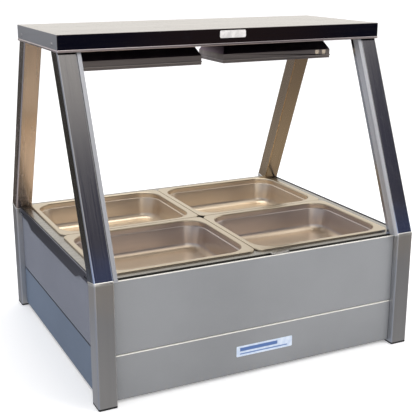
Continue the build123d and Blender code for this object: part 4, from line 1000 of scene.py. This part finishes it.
def build_rocker_marks(bm, pivot):
    """A raised bar on the upper half of a rocker's face and a ring on the lower half."""
    turn = Matrix.Rotation(-ROCKER_TILT, 4, "X")
    face = Vector(pivot) + turn @ Vector((0, ROCKER_FACE, 0))
    size = (MARK_BAR[0], 2 * PRINT_RISE, MARK_BAR[1])
    block(bm, face + turn @ Vector((0, 0, MARK_REACH)), size, turn)
    made = bmesh.new()
    ring = [(RING_INNER, -1), (RING_INNER, 1), (RING_OUTER, 1), (RING_OUTER, -1)]
    loops = []
    for radius, rise in ring + ring[:1]:
        height = rise * PRINT_RISE
        loops.append([turn @ Vector((radius * cos(a), height, radius * sin(a) - MARK_REACH)) + face
                      for a in (2 * pi * k / 24 for k in range(24))])
    skin(made, loops)
    bmesh.ops.remove_doubles(made, verts=made.verts, dist=0.001 * MM)
    mesh = bpy.data.meshes.new("ring")
    made.to_mesh(mesh)
    made.free()
    bm.from_mesh(mesh)
    bpy.data.meshes.remove(mesh)


for joint in frame["record"]["behaviour"]["joints"]:
    if joint["name"].endswith("rocker_tilt"):
        rocker = joint["child"]
        mesh_piece(rocker + "_marks", lambda bm: build_rocker_marks(bm, joint["pos_m"]), rocker,
                   ink_white.material, smooth=False)


# ---------------------------------------------------------------- floor, light and camera
def studio_world():
    """Even pale surroundings, dim and cool at the left, with dark walls for polished steel to mirror."""
    world = bpy.data.worlds.new("studio")
    scene.world = world
    world.use_nodes = True
    tree = world.node_tree
    background = tree.nodes["Background"]
    s = Shader.__new__(Shader)
    s.tree = tree
    s.place = s.add("ShaderNodeTexCoord").outputs["Generated"]
    x, _, z = s.axes()
    sky = s.mix(s.span(z, -0.9, -0.12), (0.33, 0.31, 0.29), (0.47, 0.455, 0.44))
    sky = s.mix(s.span(z, -0.10, 0.06), sky, (0.94, 0.91, 0.86))
    sky = s.mix(s.span(z, 0.10, 0.75), sky, (1.12, 1.12, 1.12))
    sky = s.mix(s.span(x, 0.0, -0.85, 0.0, 0.75), sky, (0.30, 0.34, 0.44))

    def cone(direction, outer, inner):
        aim = s.add("ShaderNodeVectorMath", operation="DOT_PRODUCT")
        s.feed(aim.inputs[0], s.place)
        aim.inputs[1].default_value = Vector(direction).normalized()
        return s.span(aim.outputs["Value"], outer, inner)

    wall = s.mix(s.span(z, 0.475, 0.61), (0.062, 0.062, 0.092), (0.62, 0.59, 0.56))
    # Each patch: the direction of its middle, the cosines of its outer and inner edge, strength and colour.
    patches = (
        ((0.42, -0.78, 0.45), 0.85, 0.92, 1.0, wall),
        ((0.44, -0.89, -0.04), 0.90, 0.955, 1.0, (0.010, 0.011, 0.026)),
        ((0.46, -0.885, -0.085), 0.990, 0.999, 0.6, (0.05, 0.032, 0.026)),
        ((-0.28, 0.935, -0.21), 0.972, 0.990, 1.0, (0.040, 0.036, 0.030)),
    )
    for direction, outer, inner, strength, colour in patches:
        sky = s.mix(s.math("MULTIPLY", cone(direction, outer, inner), strength), sky, colour)
    s.feed(background.inputs["Color"], sky)
    white = s.add("ShaderNodeBackground")
    path = s.add("ShaderNodeLightPath")
    blend = s.add("ShaderNodeMixShader")
    s.feed(blend.inputs[0], path.outputs["Is Camera Ray"])
    s.feed(blend.inputs[1], background.outputs[0])
    s.feed(blend.inputs[2], white.outputs[0])
    s.feed(tree.nodes["World Output"].inputs["Surface"], blend.outputs[0])
    white.inputs["Color"].default_value = (1, 1, 1, 1)


studio_world()


def area_light(name, place, size, power, target, colour=(1, 1, 1)):
    data = bpy.data.lights.new(name, "AREA")
    data.shape = "DISK"
    data.size = size
    data.energy = power
    data.color = colour
    light = bpy.data.objects.new(name, data)
    scene.collection.objects.link(light)
    light.location = place
    light.rotation_euler = (Vector(target) - Vector(place)).to_track_quat("-Z", "Y").to_euler()
    return light


area_light("key", (1.9, -2.6, 2.3), 1.8, 46.0, (0, 0, 0.25)).visible_glossy = False
area_light("top", (0.0, 0.4, 3.2), 2.6, 30.0, (0, 0, 0.2), (1.0, 0.97, 0.93))

FLOOR_HALF = 30.0
FLOOR_TONE = (0.93, 0.93, 0.93)
FLOOR_GLOW = 0.30
floor_mesh = bpy.data.meshes.new("floor")
corners = [(-FLOOR_HALF, -FLOOR_HALF, 0), (FLOOR_HALF, -FLOOR_HALF, 0), (FLOOR_HALF, FLOOR_HALF, 0),
           (-FLOOR_HALF, FLOOR_HALF, 0)]
floor_mesh.from_pydata(corners, [], [(0, 1, 2, 3)])
floor = bpy.data.objects.new("floor", floor_mesh)
scene.collection.objects.link(floor)
pale = Shader("pale_floor", FLOOR_TONE, 0.0, 0.8)
pale.set("Emission Color", (1.0, 1.0, 1.0, 1.0))
pale.set("Emission Strength", FLOOR_GLOW)
floor_mesh.materials.append(pale.material)
floor.visible_glossy = False

# The viewpoint of the photograph, with a lens for a 36 mm wide sensor.
CAMERA_PLACE = (-0.8024, -1.6910, 0.8153)
CAMERA_TURN = (radians(73.9), 0.0, radians(-25.9))
CAMERA_LENS = 74.32
camera_data = bpy.data.cameras.new("camera")
camera_data.sensor_width = 36.0
camera_data.lens = CAMERA_LENS
camera_data.clip_end = 100.0
camera = bpy.data.objects.new("camera", camera_data)
scene.collection.objects.link(camera)
camera.location = CAMERA_PLACE
camera.rotation_euler = CAMERA_TURN
scene.camera = camera
scene.view_settings.view_transform = "Standard"
